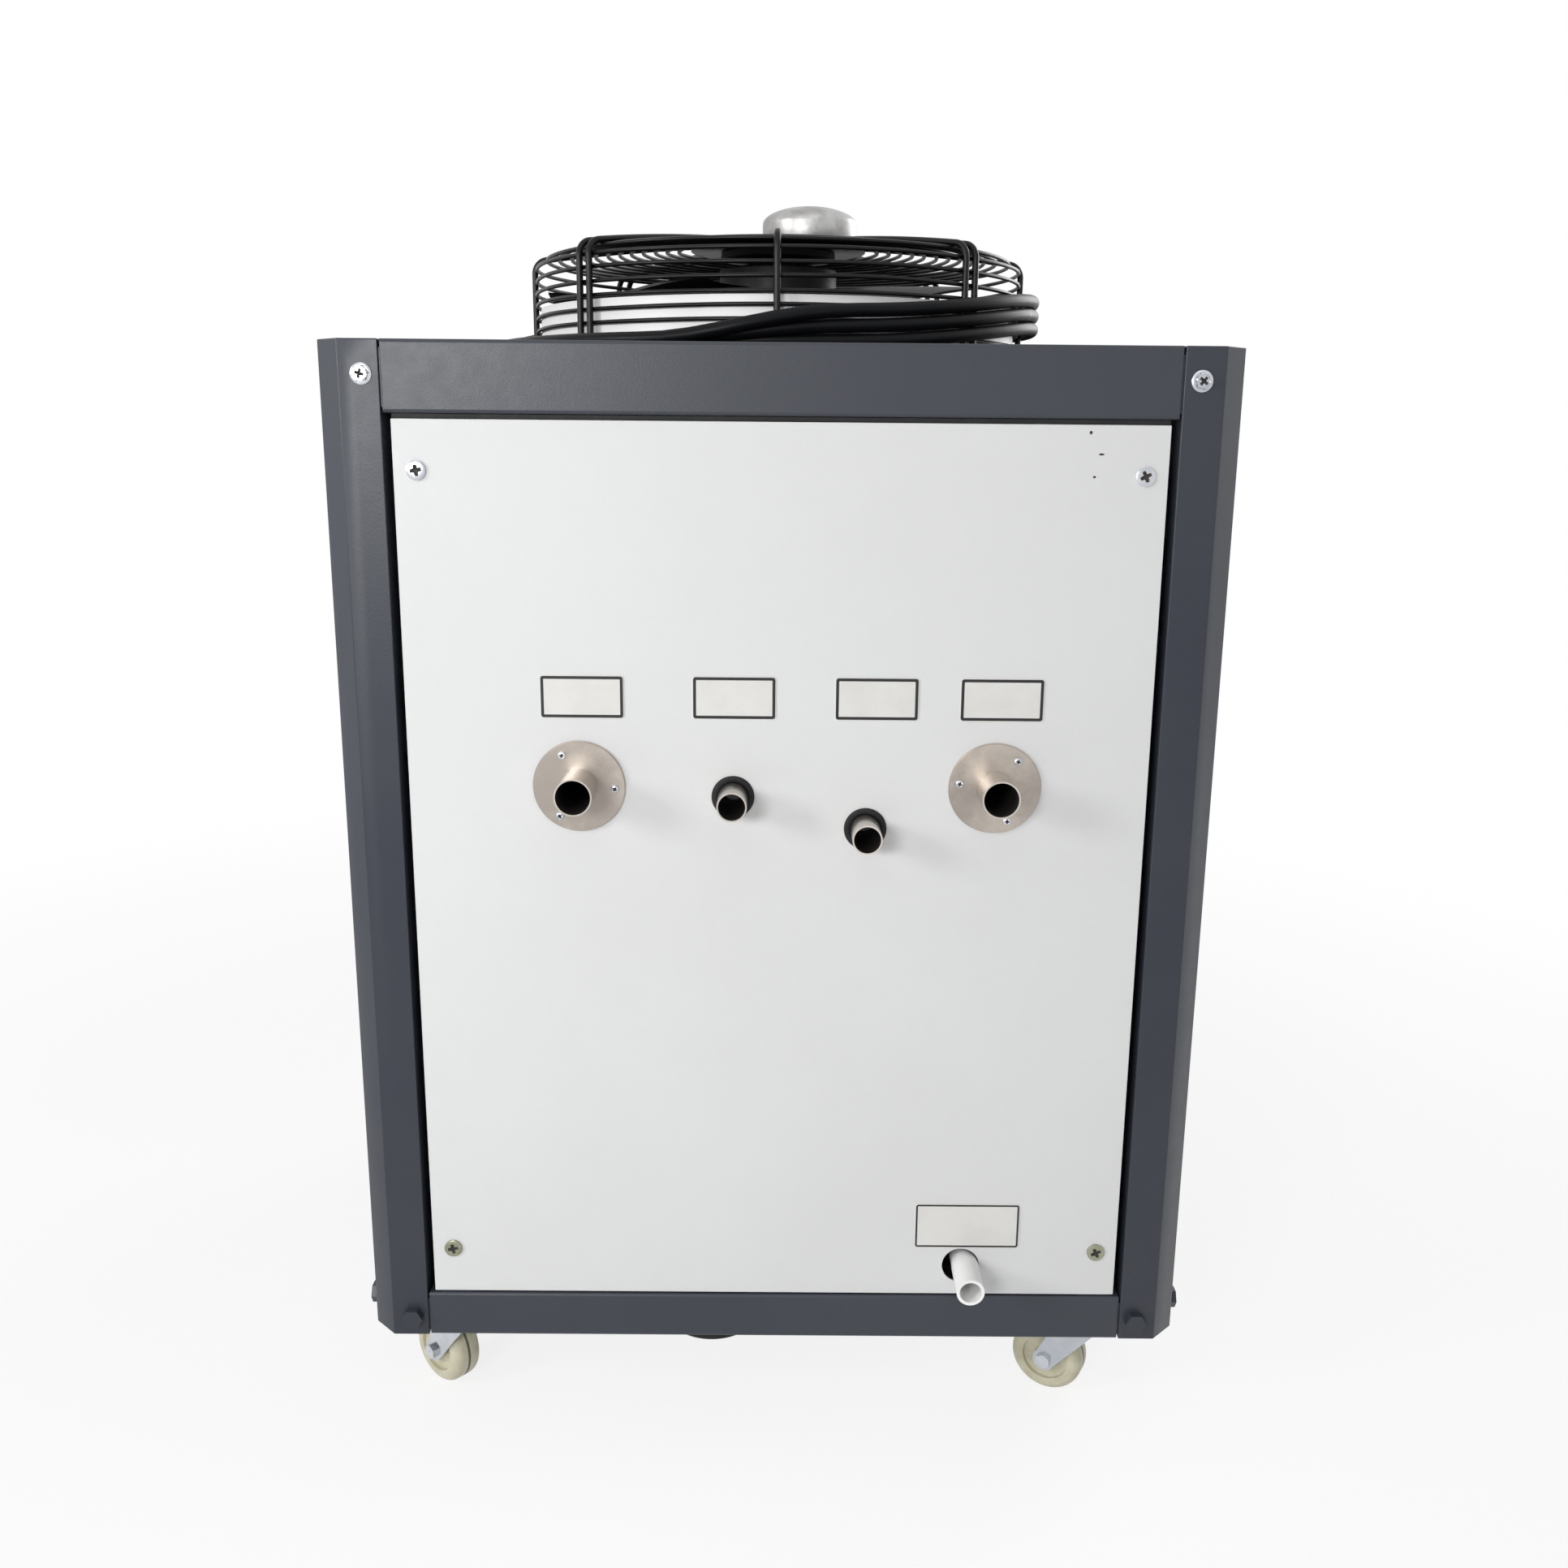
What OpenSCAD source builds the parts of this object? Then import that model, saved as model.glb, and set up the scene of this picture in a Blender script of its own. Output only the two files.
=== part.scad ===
// Air-cooled water chiller: a wheeled steel cabinet with pipe stubs in front and a fan on top
// +Z is up, the floor is z = 0, the pipe side faces -Y, and the origin is under the cabinet's middle.

/* [Cabinet] */
// Width over the corner posts
cab_w = 800; // [700:10:1000]
// Depth over the corner posts
cab_d = 700; // [640:10:900]
// Height of the frame without its casters
frame_h = 950; // [900:10:1200]
// Width of a corner post
post_w = 57.5; // [50:0.5:70]
// Bevel on the outer corner of a post
post_bevel = 22.5; // [12:0.5:28]
// Wall of posts and rails
frame_wall = 2.5; // [2:0.1:3.5]
// Height of the top rails
top_rail_h = 61; // [50:1:70]
// Height of the bottom rails
bottom_rail_h = 46.4; // [40:0.2:60]
// Width of the dark joint between rail and post
rail_joint = 1.6; // [0.6:0.2:3]

/* [Panels] */
// Thickness of the panel sheet
sheet = 2; // [1.2:0.1:3]
// How far the panels lie behind the frame's face
panel_recess = 2; // [1:0.5:4]
// Gap between a panel and a post
panel_gap_side = 7.5; // [4:0.5:10]
// Gap above a panel
panel_gap_top = 4.7; // [2:0.1:8]
// Gap below a panel
panel_gap_bottom = 1.8; // [1:0.1:4]
// Depth of the folded panel edges
panel_fold = 18; // [10:1:24]
// Height of one louvre pitch on the side panels
louvre_pitch = 34; // [26:1:50]
// Depth of a louvre blade
louvre_depth = 24; // [16:1:28]

/* [Pipes] */
// Outside radius of the water pipes
water_pipe_r = 16.85; // [14:0.05:18]
// Bore radius of the water pipes
water_bore_r = 15.25; // [10:0.05:15.5]
// Outside radius of the make-up and overflow pipes
small_pipe_r = 13.45; // [10:0.05:15]
// Bore radius of the make-up and overflow pipes
small_bore_r = 11.85; // [8:0.05:12]
// Outside radius of the drain pipe
drain_pipe_r = 13.35; // [11:0.05:16]
// Bore radius of the drain pipe
drain_bore_r = 10.45; // [8:0.05:12]
// Radius of the flange plates
flange_r = 42; // [36:1:44]
// How far the water pipes stand out
water_out = 44; // [30:1:60]
// How far the drain pipe stands out
drain_out = 46; // [40:1:70]

/* [Fan] */
// Sideways place of the fan axis
fan_x = -5; // [-15:1:15]
// Outside radius of the wire guard
guard_r = 261; // [240:1:265]
// Inside radius of the fan collar
collar_r = 247.5; // [225:0.5:248]
// Height of the collar above the top panel
collar_h = 47.5; // [40:0.5:60]
// Radius over the blade tips
blade_r = 242; // [200:1:243]
// Number of blades
blade_count = 5; // [3:1:7]
// Pitch of the guard's rings
ring_pitch = 12.5; // [10:0.5:16]

/* [Casters] */
// Height of a caster, which lifts the frame
caster_h = 105; // [100:1:125]
// Radius of a wheel
wheel_r = 37.5; // [34:0.5:38]
// Width of a wheel
wheel_w = 32; // [24:1:34]
// Distance from the swivel axis back to the axle
caster_trail = 33; // [26:1:38]

/* [Cable] */
// Diameter of the power cable
cable_d = 12.5; // [9:0.5:13]
// Turns of the cable round the guard
cable_turns = 2.75; // [1.5:0.01:2.78]

/* [Hidden] */

$fn = 64;
// Overrun of every cut past the face it starts from
cut = 1;
// Clearance round a bolt or pipe in its hole
hole_gap = 0.4;
// Radial running clearance of a shaft in its bore
run_gap = 0.05;
// Axial gap between parts that turn against each other
turn_gap = 0.5;

// Planes that the whole cabinet shares
half_w = cab_w / 2;
half_d = cab_d / 2;
inner_x = half_w - post_w;
inner_y = half_d - post_w;
base_z = caster_h;
top_z = caster_h + frame_h;
panel_z0 = base_z + bottom_rail_h + panel_gap_bottom;
panel_z1 = top_z - top_rail_h - panel_gap_top;
panel_face = panel_recess;
pan_z = base_z + 2 * frame_wall;

// Rail flanges and the tabs that carry the panels
top_flange = 45;
lower_flange = 25;
base_flange = 40;
rail_edge = 2;
tongue_len = 20;
tab_w = 30;
tab_end = 12;
screw_from_side = 20;
screw_from_top = 43.3;
screw_from_bottom = 46.8;

// Screws and bolts
screw_head_r = 8.6;
screw_head_h = 2.6;
screw_r = 2.5;
screw_len = 12;
bolt_flange_r = 9.2;
bolt_flange_h = 1.8;
bolt_hex_r = 7.4;
bolt_hex_h = 5.2;
bolt_r = 4;
bolt_len = 16;
bolt_from_inner = 15;
bolt_from_top = 29;
base_bolt_hex_r = 10.4;
base_bolt_hex_h = 8;
base_bolt_r = 5;
base_bolt_z = 21;

// Places on the pipe panel, as x from the middle and drop below the frame's top
outlet_at = [-180.7, 388];
inlet_at = [196, 387];
makeup_at = [-41.4, 397];
overflow_at = [79.4, 426];
drain_up = 79.6;
drain_at = [187, frame_h - drain_up];
small_out = 38;
// Plane before the frame's face where the pipes step down to their inner size
neck_out = 1;
pipe_step = 0.4;
flange_t = 3;
flange_screw_r = 3.6;
flange_screw_h = 2.6;
flange_screw_shank = 1.8;
flange_pcd_r = 32.5;
grommet_r = 19.5;
grommet_lip = 2.4;
grommet_wall = 2.2;
drain_hole_r = 18.2;
drain_hole_shift = 4.3;
label_t = 0.8;
label_w = 73;
label_h = 37;
label_drop = 306;
label_corner = 3;
label_places_x = [-176.5, -40.3, 87.5, 199.6];
drain_label_w = 101;
drain_label_h = 46;
drain_label_up = 122.7;
drain_label_at = [187.7, frame_h - drain_label_up];
bung_at = [-63, 52];
bung_r = 46;
bung_drop = 8.6;
bung_edge = 2.4;
bung_neck_r = 10;

// Wire guard and fan
collar_wall = 2;
collar_below = 22;
collar_flange_t = 2;
collar_flange_r = guard_r + 1;
rib_r = 3.2;
ring_r = 2;
weld = 0.4;
rib_path_r = guard_r - rib_r;
ring_in = rib_r + ring_r - weld;
side_ring_r = rib_path_r - ring_in;
side_ring_count = 7;
first_ring_z = 13;
shoulder_r = 14;
shoulder_z = 87;
dome_slope = 8;
dome_r = rib_path_r - shoulder_r + shoulder_r * sin(dome_slope);
dome_z = shoulder_z + shoulder_r * cos(dome_slope);
plate_r = 92;
plate_hole_r = 30;
plate_t = 3;
plate_z = 110;
rib_end_r = plate_r - 6;
rib_end_z = plate_z + plate_t + rib_r - weld;
dome_rise = (rib_end_z - dome_z) / (1 - pow(rib_end_r / dome_r, 2));
rib_pair = 14.5;
rib_angles = [0, 45, 90, 135, 180, 225, 270, 315];
lug_t = 2;
lug_depth = 10;
guard_screw_r = 3.4;
guard_screw_h = 2.6;
motor_flange_r = 60;
motor_flange_t = 8;
motor_core_r = 48;
motor_bottom = 30;
motor_screw_pcd_r = 52;
motor_screw_r = 5;
motor_screw_h = 4;
shaft_r = 7;
cup_r = 62;
cup_wall = 9;
cup_z0 = 18;
cup_floor = 8;
cup_z1 = 92;
shaft_top = 96;
blade_mid_z = 50;
blade_t = 2.4;
blade_axial_share = [0.86, 0.66];
blade_half_angle = [28, 21];
blade_sweep = 22;
blade_camber = 5;
blade_rows = 6;
blade_cols = 6;
cap_r = 49.5;
cap_h = 43;
cap_shift = 33;
cap_edge = 25;

// Power cable: its outlet on the top panel, its free lead and its coil
cable_r = cable_d / 2;
box_at = [280, 102];
box_size = [60, 60, 24];
gland_hex_r = 11.4;
gland_hex_h = 10;
gland_taper = 30;
gland_tip_r = cable_r + 1.2;
gland_x = 285;
gland_z = 12;
coil_r = guard_r + 8.4;
coil_step = cable_d + 0.9;
coil_start = 120;
climb_from_share = 0.80;
climb_to_share = 0.95;
flat_at = 216;
flat_half = 31;
stacked_at = 79;
lift_h = 25;
lifted_at = 20;
lift_full = 30;
lift_end = 98;
coil_rings_a_turn = 36;
coil_sides = 6;
lead_sides = 8;
rest_gap = 0.05;
// Chosen points of the lead: back from its gland, round the rear corner, then into the coil
lead_route = [
    [285, 172, 12], [285, 188, 12], [284, 206, 11], [280, 224, 9.5], [273, 240, 8], [262, 256, 7],
    [249, 270, 6.5], [233, 281, 6.3], [215, 290, 6.3], [195, 297, 6.3], [165, 303, 6.3], [130, 308, 6.3],
    [95, 310, 6.3], [60, 309, 6.3], [20, 304, 6.3], [-20, 294, 6.3], [-60, 279, 6.3], [-95, 262, 6.3]
];

// Casters
caster_inset_x = 79;
caster_inset_y = 65;
caster_plate_w = 90;
caster_plate_d = 64;
caster_plate_t = 3.5;
race_r = 25;
race_h = 5;
kingpin_r = 5;
kingpin_head_r = 9;
kingpin_head_h = 3;
fork_top_h = 12;
fork_wall = 2.5;
fork_side_gap = 1.5;
axle_r = 5;
axle_hex_r = 8;
axle_hex_h = 4.5;
axle_boss_r = 12;
wheel_edge = 9;
hub_hollow_r = 24;
hub_hollow_depth = 4;
seam_w = 1.2;
seam_depth = 0.7;
// Left-right sign, front-rear sign and swing of each caster's trail from straight back
caster_left_front = [-1, -1, 48];
caster_right_front = [1, -1, 62];
caster_left_rear = [-1, 1, 12];
caster_right_rear = [1, 1, 30];

// Works inside the cabinet
tank_w = 300;
tank_d = 250;
tank_gap_front = 38;
tank_h = 590;
tank_wall = 2;
tank_lid_t = 3;
tank_lid_over = 6;
coil_turns = 6;
evap_r = 88;
evap_pitch = 48;
evap_tube_r = 6;
pump_z = 80;
pump_r = 58;
pump_len = 180;
volute_r = 68;
volute_w = 46;
volute_gap = 22;
pump_foot_w = 90;
pump_boss_h = 4;
pump_boss_wall = 3;
comp_r = 75;
comp_h = 300;
comp_seam = 2;
comp_at = [105, 160];
comp_foot_r = 16;
comp_foot_h = 14;
comp_foot_pcd_r = 78;
comp_plate_t = 5;
comp_boss_r = 9;
comp_boss_h = 50;
comp_boss_at = [[-25, 0], [25, 0], [0, -40]];
cond_t = 40;
cond_gap = 24;
cond_half_d = 268;
cond_top_gap = 40;
cond_plate_t = 3;
cond_plate_over = 6;
cond_tube_r = 5;
cond_rows = 8;
cond_bend_r = 19;
line_r = 6.35;
line_sides = 8;
line_bend = 30;
drier_r = 22;
drier_len = 110;
receiver_r = 50;
receiver_h = 230;
receiver_at = [230, 70];
ebox_size = [260, 120, 300];
ebox_from_top = 90;
ebox_z = frame_h - ebox_from_top - ebox_size[2];
ebox_x = -70;

// Controls on the rear panel
unit_w = 190;
unit_h = 110;
unit_t = 8;
unit_at = [-70, 260];
screen_w = 96;
screen_h = 44;
screen_t = 1.5;
key_r = 7;
key_count = 4;
gauge_at = [150, 170];
gauge_r = 32;
gauge_t = 22;
switch_at = [150, 290];
switch_plate = 64;
switch_plate_t = 6;
switch_shaft_r = 6;
switch_seat = 4;
knob_r = 22;
knob_h = 20;
grip_w = 12;
rear_out = 42;
lamp_r = 11;
lamp_h = 9;
lamp_places_x = [95, 205];
lamp_drop = 380;

// Small helpers

function rise(t) = let (u = min(max(t, 0), 1)) u * u * (3 - 2 * u);
function unit_of(v) = v / norm(v);
function panel_half(inner) = inner - panel_gap_side;

// Tube of n sides and radius r swept along a list of points
function tangents(p) = [
    for (i = [0 : len(p) - 1])
        unit_of(p[min(i + 1, len(p) - 1)] - p[max(i - 1, 0)])
];
function side_of(t) = unit_of(cross(t, abs(t[2]) > 0.9 ? [1, 0, 0] : [0, 0, 1]));
module sweep(p, r, n) {
    t = tangents(p);
    last = len(p) - 1;
    rings = [
        for (i = [0 : last])
            let (a = side_of(t[i]), b = cross(a, t[i]))
            for (j = [0 : n - 1])
                p[i] + r * (cos(360 * j / n) * a + sin(360 * j / n) * b)
    ];
    walls = [
        for (i = [0 : last - 1], j = [0 : n - 1])
            let (k = (j + 1) % n, q = i * n)
            each [[q + j, q + k, q + n + k], [q + j, q + n + k, q + n + j]]
    ];
    start_cap = [for (j = [1 : n - 2]) [0, j + 1, j]];
    end_cap = [for (j = [1 : n - 2]) [last * n, last * n + j, last * n + j + 1]];
    polyhedron(concat(rings), concat(walls, start_cap, end_cap));
}

// Route through corners with each inner corner rounded
function rounded(c, r, n = 4) = [
    for (i = [0 : len(c) - 1])
        each (i == 0 || i == len(c) - 1) ? [c[i]] :
            let (
                a = unit_of(c[i - 1] - c[i]),
                b = unit_of(c[i + 1] - c[i]),
                turn = 180 - acos(a * b),
                m = unit_of(a + b),
                far = r / cos(turn / 2),
                o = c[i] + m * far,
                side = unit_of(b - a)
            )
            [for (k = [0 : n]) let (g = turn * (k / n - 0.5)) o - r * (cos(g) * m - sin(g) * side)]
];

module at_corner(sx, sy) {
    mirror([sx < 0 ? 1 : 0, 0, 0])
        mirror([0, sy < 0 ? 1 : 0, 0])
            children();
}

// Turns children made for the front to each of the given sides: 0 front, 1 right, 2 rear, 3 left
module on_sides(sides) {
    for (s = sides)
        rotate([0, 0, 90 * s])
            children();
}

module ring_wire(radius, wire) {
    rotate_extrude($fn = 96)
        translate([radius, 0])
            circle(r = wire, $fn = 24);
}

// Corner posts

module post_outline(t) {
    b = post_bevel + t * (sqrt(2) - 1);
    polygon([
        [half_w - b, half_d - t], [inner_x + t, half_d - t], [inner_x + t, inner_y + t],
        [half_w - t, inner_y + t], [half_w - t, half_d - b]
    ]);
}

module post_holes() {
    for (h = [[top_z - bolt_from_top, bolt_r], [base_z + base_bolt_z, base_bolt_r]])
        translate([inner_x + bolt_from_inner, half_d + cut, h[0]])
            rotate([90, 0, 0])
                cylinder(r = h[1] + hole_gap, h = frame_wall + 2 * cut);
    translate([half_w - frame_wall - cut, inner_y + bolt_from_inner, base_z + base_bolt_z])
        rotate([0, 90, 0])
            cylinder(r = base_bolt_r + hole_gap, h = frame_wall + 2 * cut);
}

module corner_post(sx, sy) {
    color([0.30, 0.32, 0.35])
        at_corner(sx, sy)
            difference() {
                translate([0, 0, base_z])
                    linear_extrude(frame_h)
                        post_outline(0);
                translate([0, 0, base_z + frame_wall])
                    linear_extrude(frame_h - 2 * frame_wall)
                        post_outline(frame_wall);
                post_holes();
            }
}

// Rails: a web with an upper and a lower flange, drawn as depth inwards and height

module rail_section(h, up, up_depth, low, low_depth) {
    w = frame_wall;
    polygon([
        [rail_edge, 0], [low_depth, 0], [low_depth, w], [w, w], [w, up - w], [up_depth, up - w],
        [up_depth, up], [w, up], [w, h], [min(rail_edge, w), h], [0, h - rail_edge], [0, rail_edge]
    ]);
}

module tab(x, z0, z1, hole_z) {
    y = panel_face + sheet;
    difference() {
        translate([x - tab_w / 2, y, z0])
            cube([tab_w, frame_wall, z1 - z0]);
        translate([x, y - cut, hole_z])
            rotate([-90, 0, 0])
                cylinder(r = screw_r + hole_gap, h = frame_wall + 2 * cut);
    }
}

module rail(reach, inner, top) {
    h = top ? top_rail_h : bottom_rail_h;
    z = top ? top_z - h : base_z;
    screw_x = panel_half(inner) - screw_from_side;
    screw_z = top ? panel_z1 - screw_from_top : panel_z0 + screw_from_bottom;
    translate([0, -reach, 0]) {
        translate([-inner + rail_joint, 0, z])
            rotate([90, 0, 90])
                linear_extrude(2 * (inner - rail_joint)) {
                    if (top)
                        rail_section(h, h - sheet, top_flange, 0, lower_flange);
                    else
                        rail_section(h, h, lower_flange, 0, base_flange);
                }
        for (s = [-1, 1]) {
            translate([s > 0 ? inner - tongue_len : -inner, frame_wall, z + 2 * frame_wall])
                cube([tongue_len, frame_wall, h - 5 * frame_wall]);
            if (top)
                tab(s * screw_x, screw_z - tab_end, z + frame_wall, screw_z);
            else
                tab(s * screw_x, z + h - frame_wall, screw_z + tab_end, screw_z);
        }
    }
}

module top_rails_front_rear() {
    color([0.34, 0.35, 0.38])
        on_sides([0, 2])
            rail(half_d, inner_x, true);
}

module top_rails_side() {
    color([0.33, 0.34, 0.37])
        on_sides([1, 3])
            rail(half_w, inner_y, true);
}

module bottom_rails_front_rear() {
    color([0.27, 0.29, 0.33])
        on_sides([0, 2])
            rail(half_d, inner_x, false);
}

module bottom_rails_side() {
    color([0.26, 0.28, 0.31])
        on_sides([1, 3])
            rail(half_w, inner_y, false);
}

// Sheets that close the cabinet

module notched_plate(z, t, edge) {
    translate([-half_w + edge, -inner_y + edge / 4, z])
        cube([cab_w - 2 * edge, 2 * inner_y - edge / 2, t]);
    translate([-inner_x + edge / 4, -half_d + edge, z])
        cube([2 * inner_x - edge / 2, cab_d - 2 * edge, t]);
}

module base_pan() {
    color([0.62, 0.63, 0.64])
        difference() {
            notched_plate(base_z + frame_wall, frame_wall, 2 * frame_wall + cut);
            translate([bung_at[0], -half_d + bung_at[1], base_z - cut])
                cylinder(r = bung_neck_r, h = 3 * frame_wall + cut);
        }
}

module top_panel() {
    color([0.31, 0.33, 0.36])
        difference() {
            notched_plate(top_z - sheet, sheet, frame_wall + hole_gap);
            translate([fan_x, 0, top_z - sheet - cut])
                cylinder(r = collar_r + collar_wall + hole_gap, h = sheet + 2 * cut, $fn = 96);
            translate([box_at[0], box_at[1], top_z - sheet - cut])
                cylinder(r = cable_r + 1.5 * hole_gap, h = sheet + 2 * cut);
        }
}

module panel_tray(reach, inner) {
    half = panel_half(inner);
    h = panel_z1 - panel_z0;
    screw_x = half - screw_from_side;
    translate([0, -reach, 0])
        difference() {
            union() {
                translate([-half, panel_face, panel_z0])
                    cube([2 * half, sheet, h]);
                for (x = [-half, half - sheet])
                    translate([x, panel_face, panel_z0])
                        cube([sheet, panel_fold, h]);
            }
            for (s = [-1, 1], z = [panel_z1 - screw_from_top, panel_z0 + screw_from_bottom])
                translate([s * screw_x, panel_face - cut, z])
                    rotate([-90, 0, 0])
                        cylinder(r = screw_r + hole_gap, h = sheet + 2 * cut);
        }
}

module panel_hole(at, r) {
    translate([at[0], -half_d + panel_face - cut, top_z - at[1]])
        rotate([-90, 0, 0])
            cylinder(r = r, h = sheet + 2 * cut);
}

module pipe_panel() {
    color([0.87, 0.88, 0.88])
        difference() {
            panel_tray(half_d, inner_x);
            panel_hole(outlet_at, water_pipe_r + hole_gap);
            panel_hole(inlet_at, water_pipe_r + hole_gap);
            panel_hole(makeup_at, grommet_r - grommet_lip);
            panel_hole(overflow_at, grommet_r - grommet_lip);
            panel_hole([drain_at[0] - drain_hole_shift, drain_at[1]], drain_hole_r);
            for (f = flange_screw_places())
                panel_hole([f[0], f[1]], flange_screw_shank + hole_gap);
        }
}

module control_panel() {
    color([0.86, 0.87, 0.87])
        rotate([0, 0, 180])
            difference() {
                panel_tray(half_d, inner_x);
                panel_hole([switch_at[0], switch_at[1]], switch_shaft_r + 4 * hole_gap);
            }
}

module louvre_panel() {
    half = panel_half(inner_y);
    border = panel_fold + tab_w;
    z0 = panel_z0 + screw_from_bottom + tab_end + screw_head_r;
    z1 = panel_z1 - screw_from_top - tab_end - screw_head_r;
    count = floor((z1 - z0) / louvre_pitch);
    step = (z1 - z0) / count;
    difference() {
        panel_tray(half_w, inner_y);
        translate([-half + border, -half_w + panel_face - cut, z0])
            cube([2 * (half - border), sheet + 2 * cut, z1 - z0]);
    }
    for (i = [0 : count - 1])
        translate([-half + border - cut, -half_w + panel_face, z0 + (i + 0.2) * step])
            rotate([35, 0, 0])
                cube([2 * (half - border + cut), louvre_depth, sheet * 0.75]);
}

module side_panel_left() {
    color([0.84, 0.85, 0.85])
        on_sides([3])
            louvre_panel();
}

module side_panel_right() {
    color([0.84, 0.85, 0.85])
        on_sides([1])
            louvre_panel();
}

// Screws and bolts

module panel_screw() {
    rotate([90, 0, 0])
        cylinder(r = screw_head_r, h = screw_head_h, $fn = 48);
    rotate([-90, 0, 0])
        cylinder(r = screw_r, h = screw_len, $fn = 24);
}

module panel_screws() {
    color("silver")
        for (s = [0 : 3]) {
            reach = s % 2 == 0 ? half_d : half_w;
            half = panel_half(s % 2 == 0 ? inner_x : inner_y);
            rotate([0, 0, 90 * s])
                for (x = [-1, 1], z = [panel_z1 - screw_from_top, panel_z0 + screw_from_bottom])
                    translate([x * (half - screw_from_side), -reach + panel_face, z])
                        panel_screw();
        }
}

module post_bolt() {
    rotate([90, 0, 0]) {
        cylinder(r = bolt_flange_r, h = bolt_flange_h, $fn = 48);
        cylinder(r = bolt_hex_r, h = bolt_flange_h + bolt_hex_h, $fn = 6);
    }
    rotate([-90, 0, 0])
        cylinder(r = bolt_r, h = bolt_len, $fn = 32);
}

module base_bolt() {
    rotate([90, 0, 0])
        cylinder(r = base_bolt_hex_r, h = base_bolt_hex_h, $fn = 6);
    rotate([-90, 0, 0])
        cylinder(r = base_bolt_r, h = bolt_len, $fn = 32);
}

// Puts children at one height on the post faces of the given sides
module on_posts(z, sides) {
    for (s = sides, x = [-1, 1]) {
        reach = s % 2 == 0 ? half_d : half_w;
        inner = s % 2 == 0 ? inner_x : inner_y;
        rotate([0, 0, 90 * s])
            translate([x * (inner + bolt_from_inner), -reach, z])
                children();
    }
}

module post_bolts() {
    color([0.80, 0.81, 0.83])
        on_posts(top_z - bolt_from_top, [0, 2])
            post_bolt();
}

module base_bolts() {
    color([0.24, 0.26, 0.29])
        on_posts(base_z + base_bolt_z, [0 : 3])
            base_bolt();
}

// Plates, pipes and seals on the pipe panel

module label_plate(x, drop, w, h) {
    translate([x, -half_d + panel_face - label_t, top_z - drop])
        rotate([-90, 0, 0])
            linear_extrude(label_t) {
                square([w - 2 * label_corner, h], center = true);
                square([w, h - 2 * label_corner], center = true);
                for (sx = [-1, 1], sy = [-1, 1])
                    translate([sx * (w / 2 - label_corner), sy * (h / 2 - label_corner)])
                        circle(r = label_corner, $fn = 24);
            }
}

module label_plates() {
    color([0.90, 0.90, 0.89]) {
        for (x = label_places_x)
            label_plate(x, label_drop, label_w, label_h);
        label_plate(drain_label_at[0], drain_label_at[1], drain_label_w, drain_label_h);
    }
}

// Screw centres round each flange plate: the left plate's first screw stands at 117 degrees
function flange_screw_places() = [
    for (f = [[outlet_at, 117], [inlet_at, 52]], i = [0 : 2])
        let (a = f[1] + 120 * i)
        [f[0][0] + flange_pcd_r * cos(a), f[0][1] - flange_pcd_r * sin(a)]
];

module flange_plates() {
    color([0.68, 0.66, 0.63])
        difference() {
            for (at = [outlet_at, inlet_at])
                translate([at[0], -half_d + panel_face, top_z - at[1]])
                    rotate([90, 0, 0])
                        difference() {
                            union() {
                                cylinder(r = flange_r, h = flange_t / 2, $fn = 96);
                                cylinder(r = flange_r - flange_t / 4, h = flange_t, $fn = 96);
                            }
                            translate([0, 0, -cut])
                                cylinder(r = water_pipe_r - pipe_step + hole_gap / 2, h = flange_t + 2 * cut);
                        }
            for (f = flange_screw_places())
                translate([f[0], -half_d + panel_face + cut, top_z - f[1]])
                    rotate([90, 0, 0])
                        cylinder(r = flange_screw_shank + hole_gap, h = flange_t + 2 * cut, $fn = 24);
        }
}

module flange_screws() {
    color("gainsboro")
        for (f = flange_screw_places())
            translate([f[0], -half_d + panel_face - flange_t, top_z - f[1]]) {
                rotate([90, 0, 0])
                    cylinder(r = flange_screw_r, h = flange_screw_h, $fn = 32);
                rotate([-90, 0, 0])
                    cylinder(r = flange_screw_shank, h = flange_t + sheet + flange_screw_h, $fn = 24);
            }
}

// Straight bored stub: full size before the panel, a little thinner from its neck to depth "back" behind it
module stub(at, r, bore, out, back) {
    translate([at[0], -half_d, top_z - at[1]])
        rotate([90, 0, 0])
            difference() {
                union() {
                    translate([0, 0, neck_out])
                        cylinder(r = r, h = out - neck_out);
                    translate([0, 0, -back])
                        cylinder(r = r - pipe_step, h = back + neck_out);
                }
                translate([0, 0, -back - cut])
                    cylinder(r = bore, h = back + out + 2 * cut);
            }
}

tank_y0 = -half_d + tank_gap_front;
tank_y1 = tank_y0 + tank_d;
pump_x = outlet_at[0];
pump_y = tank_y1 + volute_gap;
side_pipe_y = tank_y0 + tank_d / 2;

// Quarter bend in plan that starts square to the panel line and ends towards x = 0
module plan_bend(x, y, z, r, bore, bend) {
    translate([x - bend, y, z])
        rotate_extrude(angle = 90, $fn = 64)
            translate([bend, 0])
                difference() {
                    circle(r = r, $fn = 48);
                    circle(r = bore, $fn = 48);
                }
}

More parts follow.
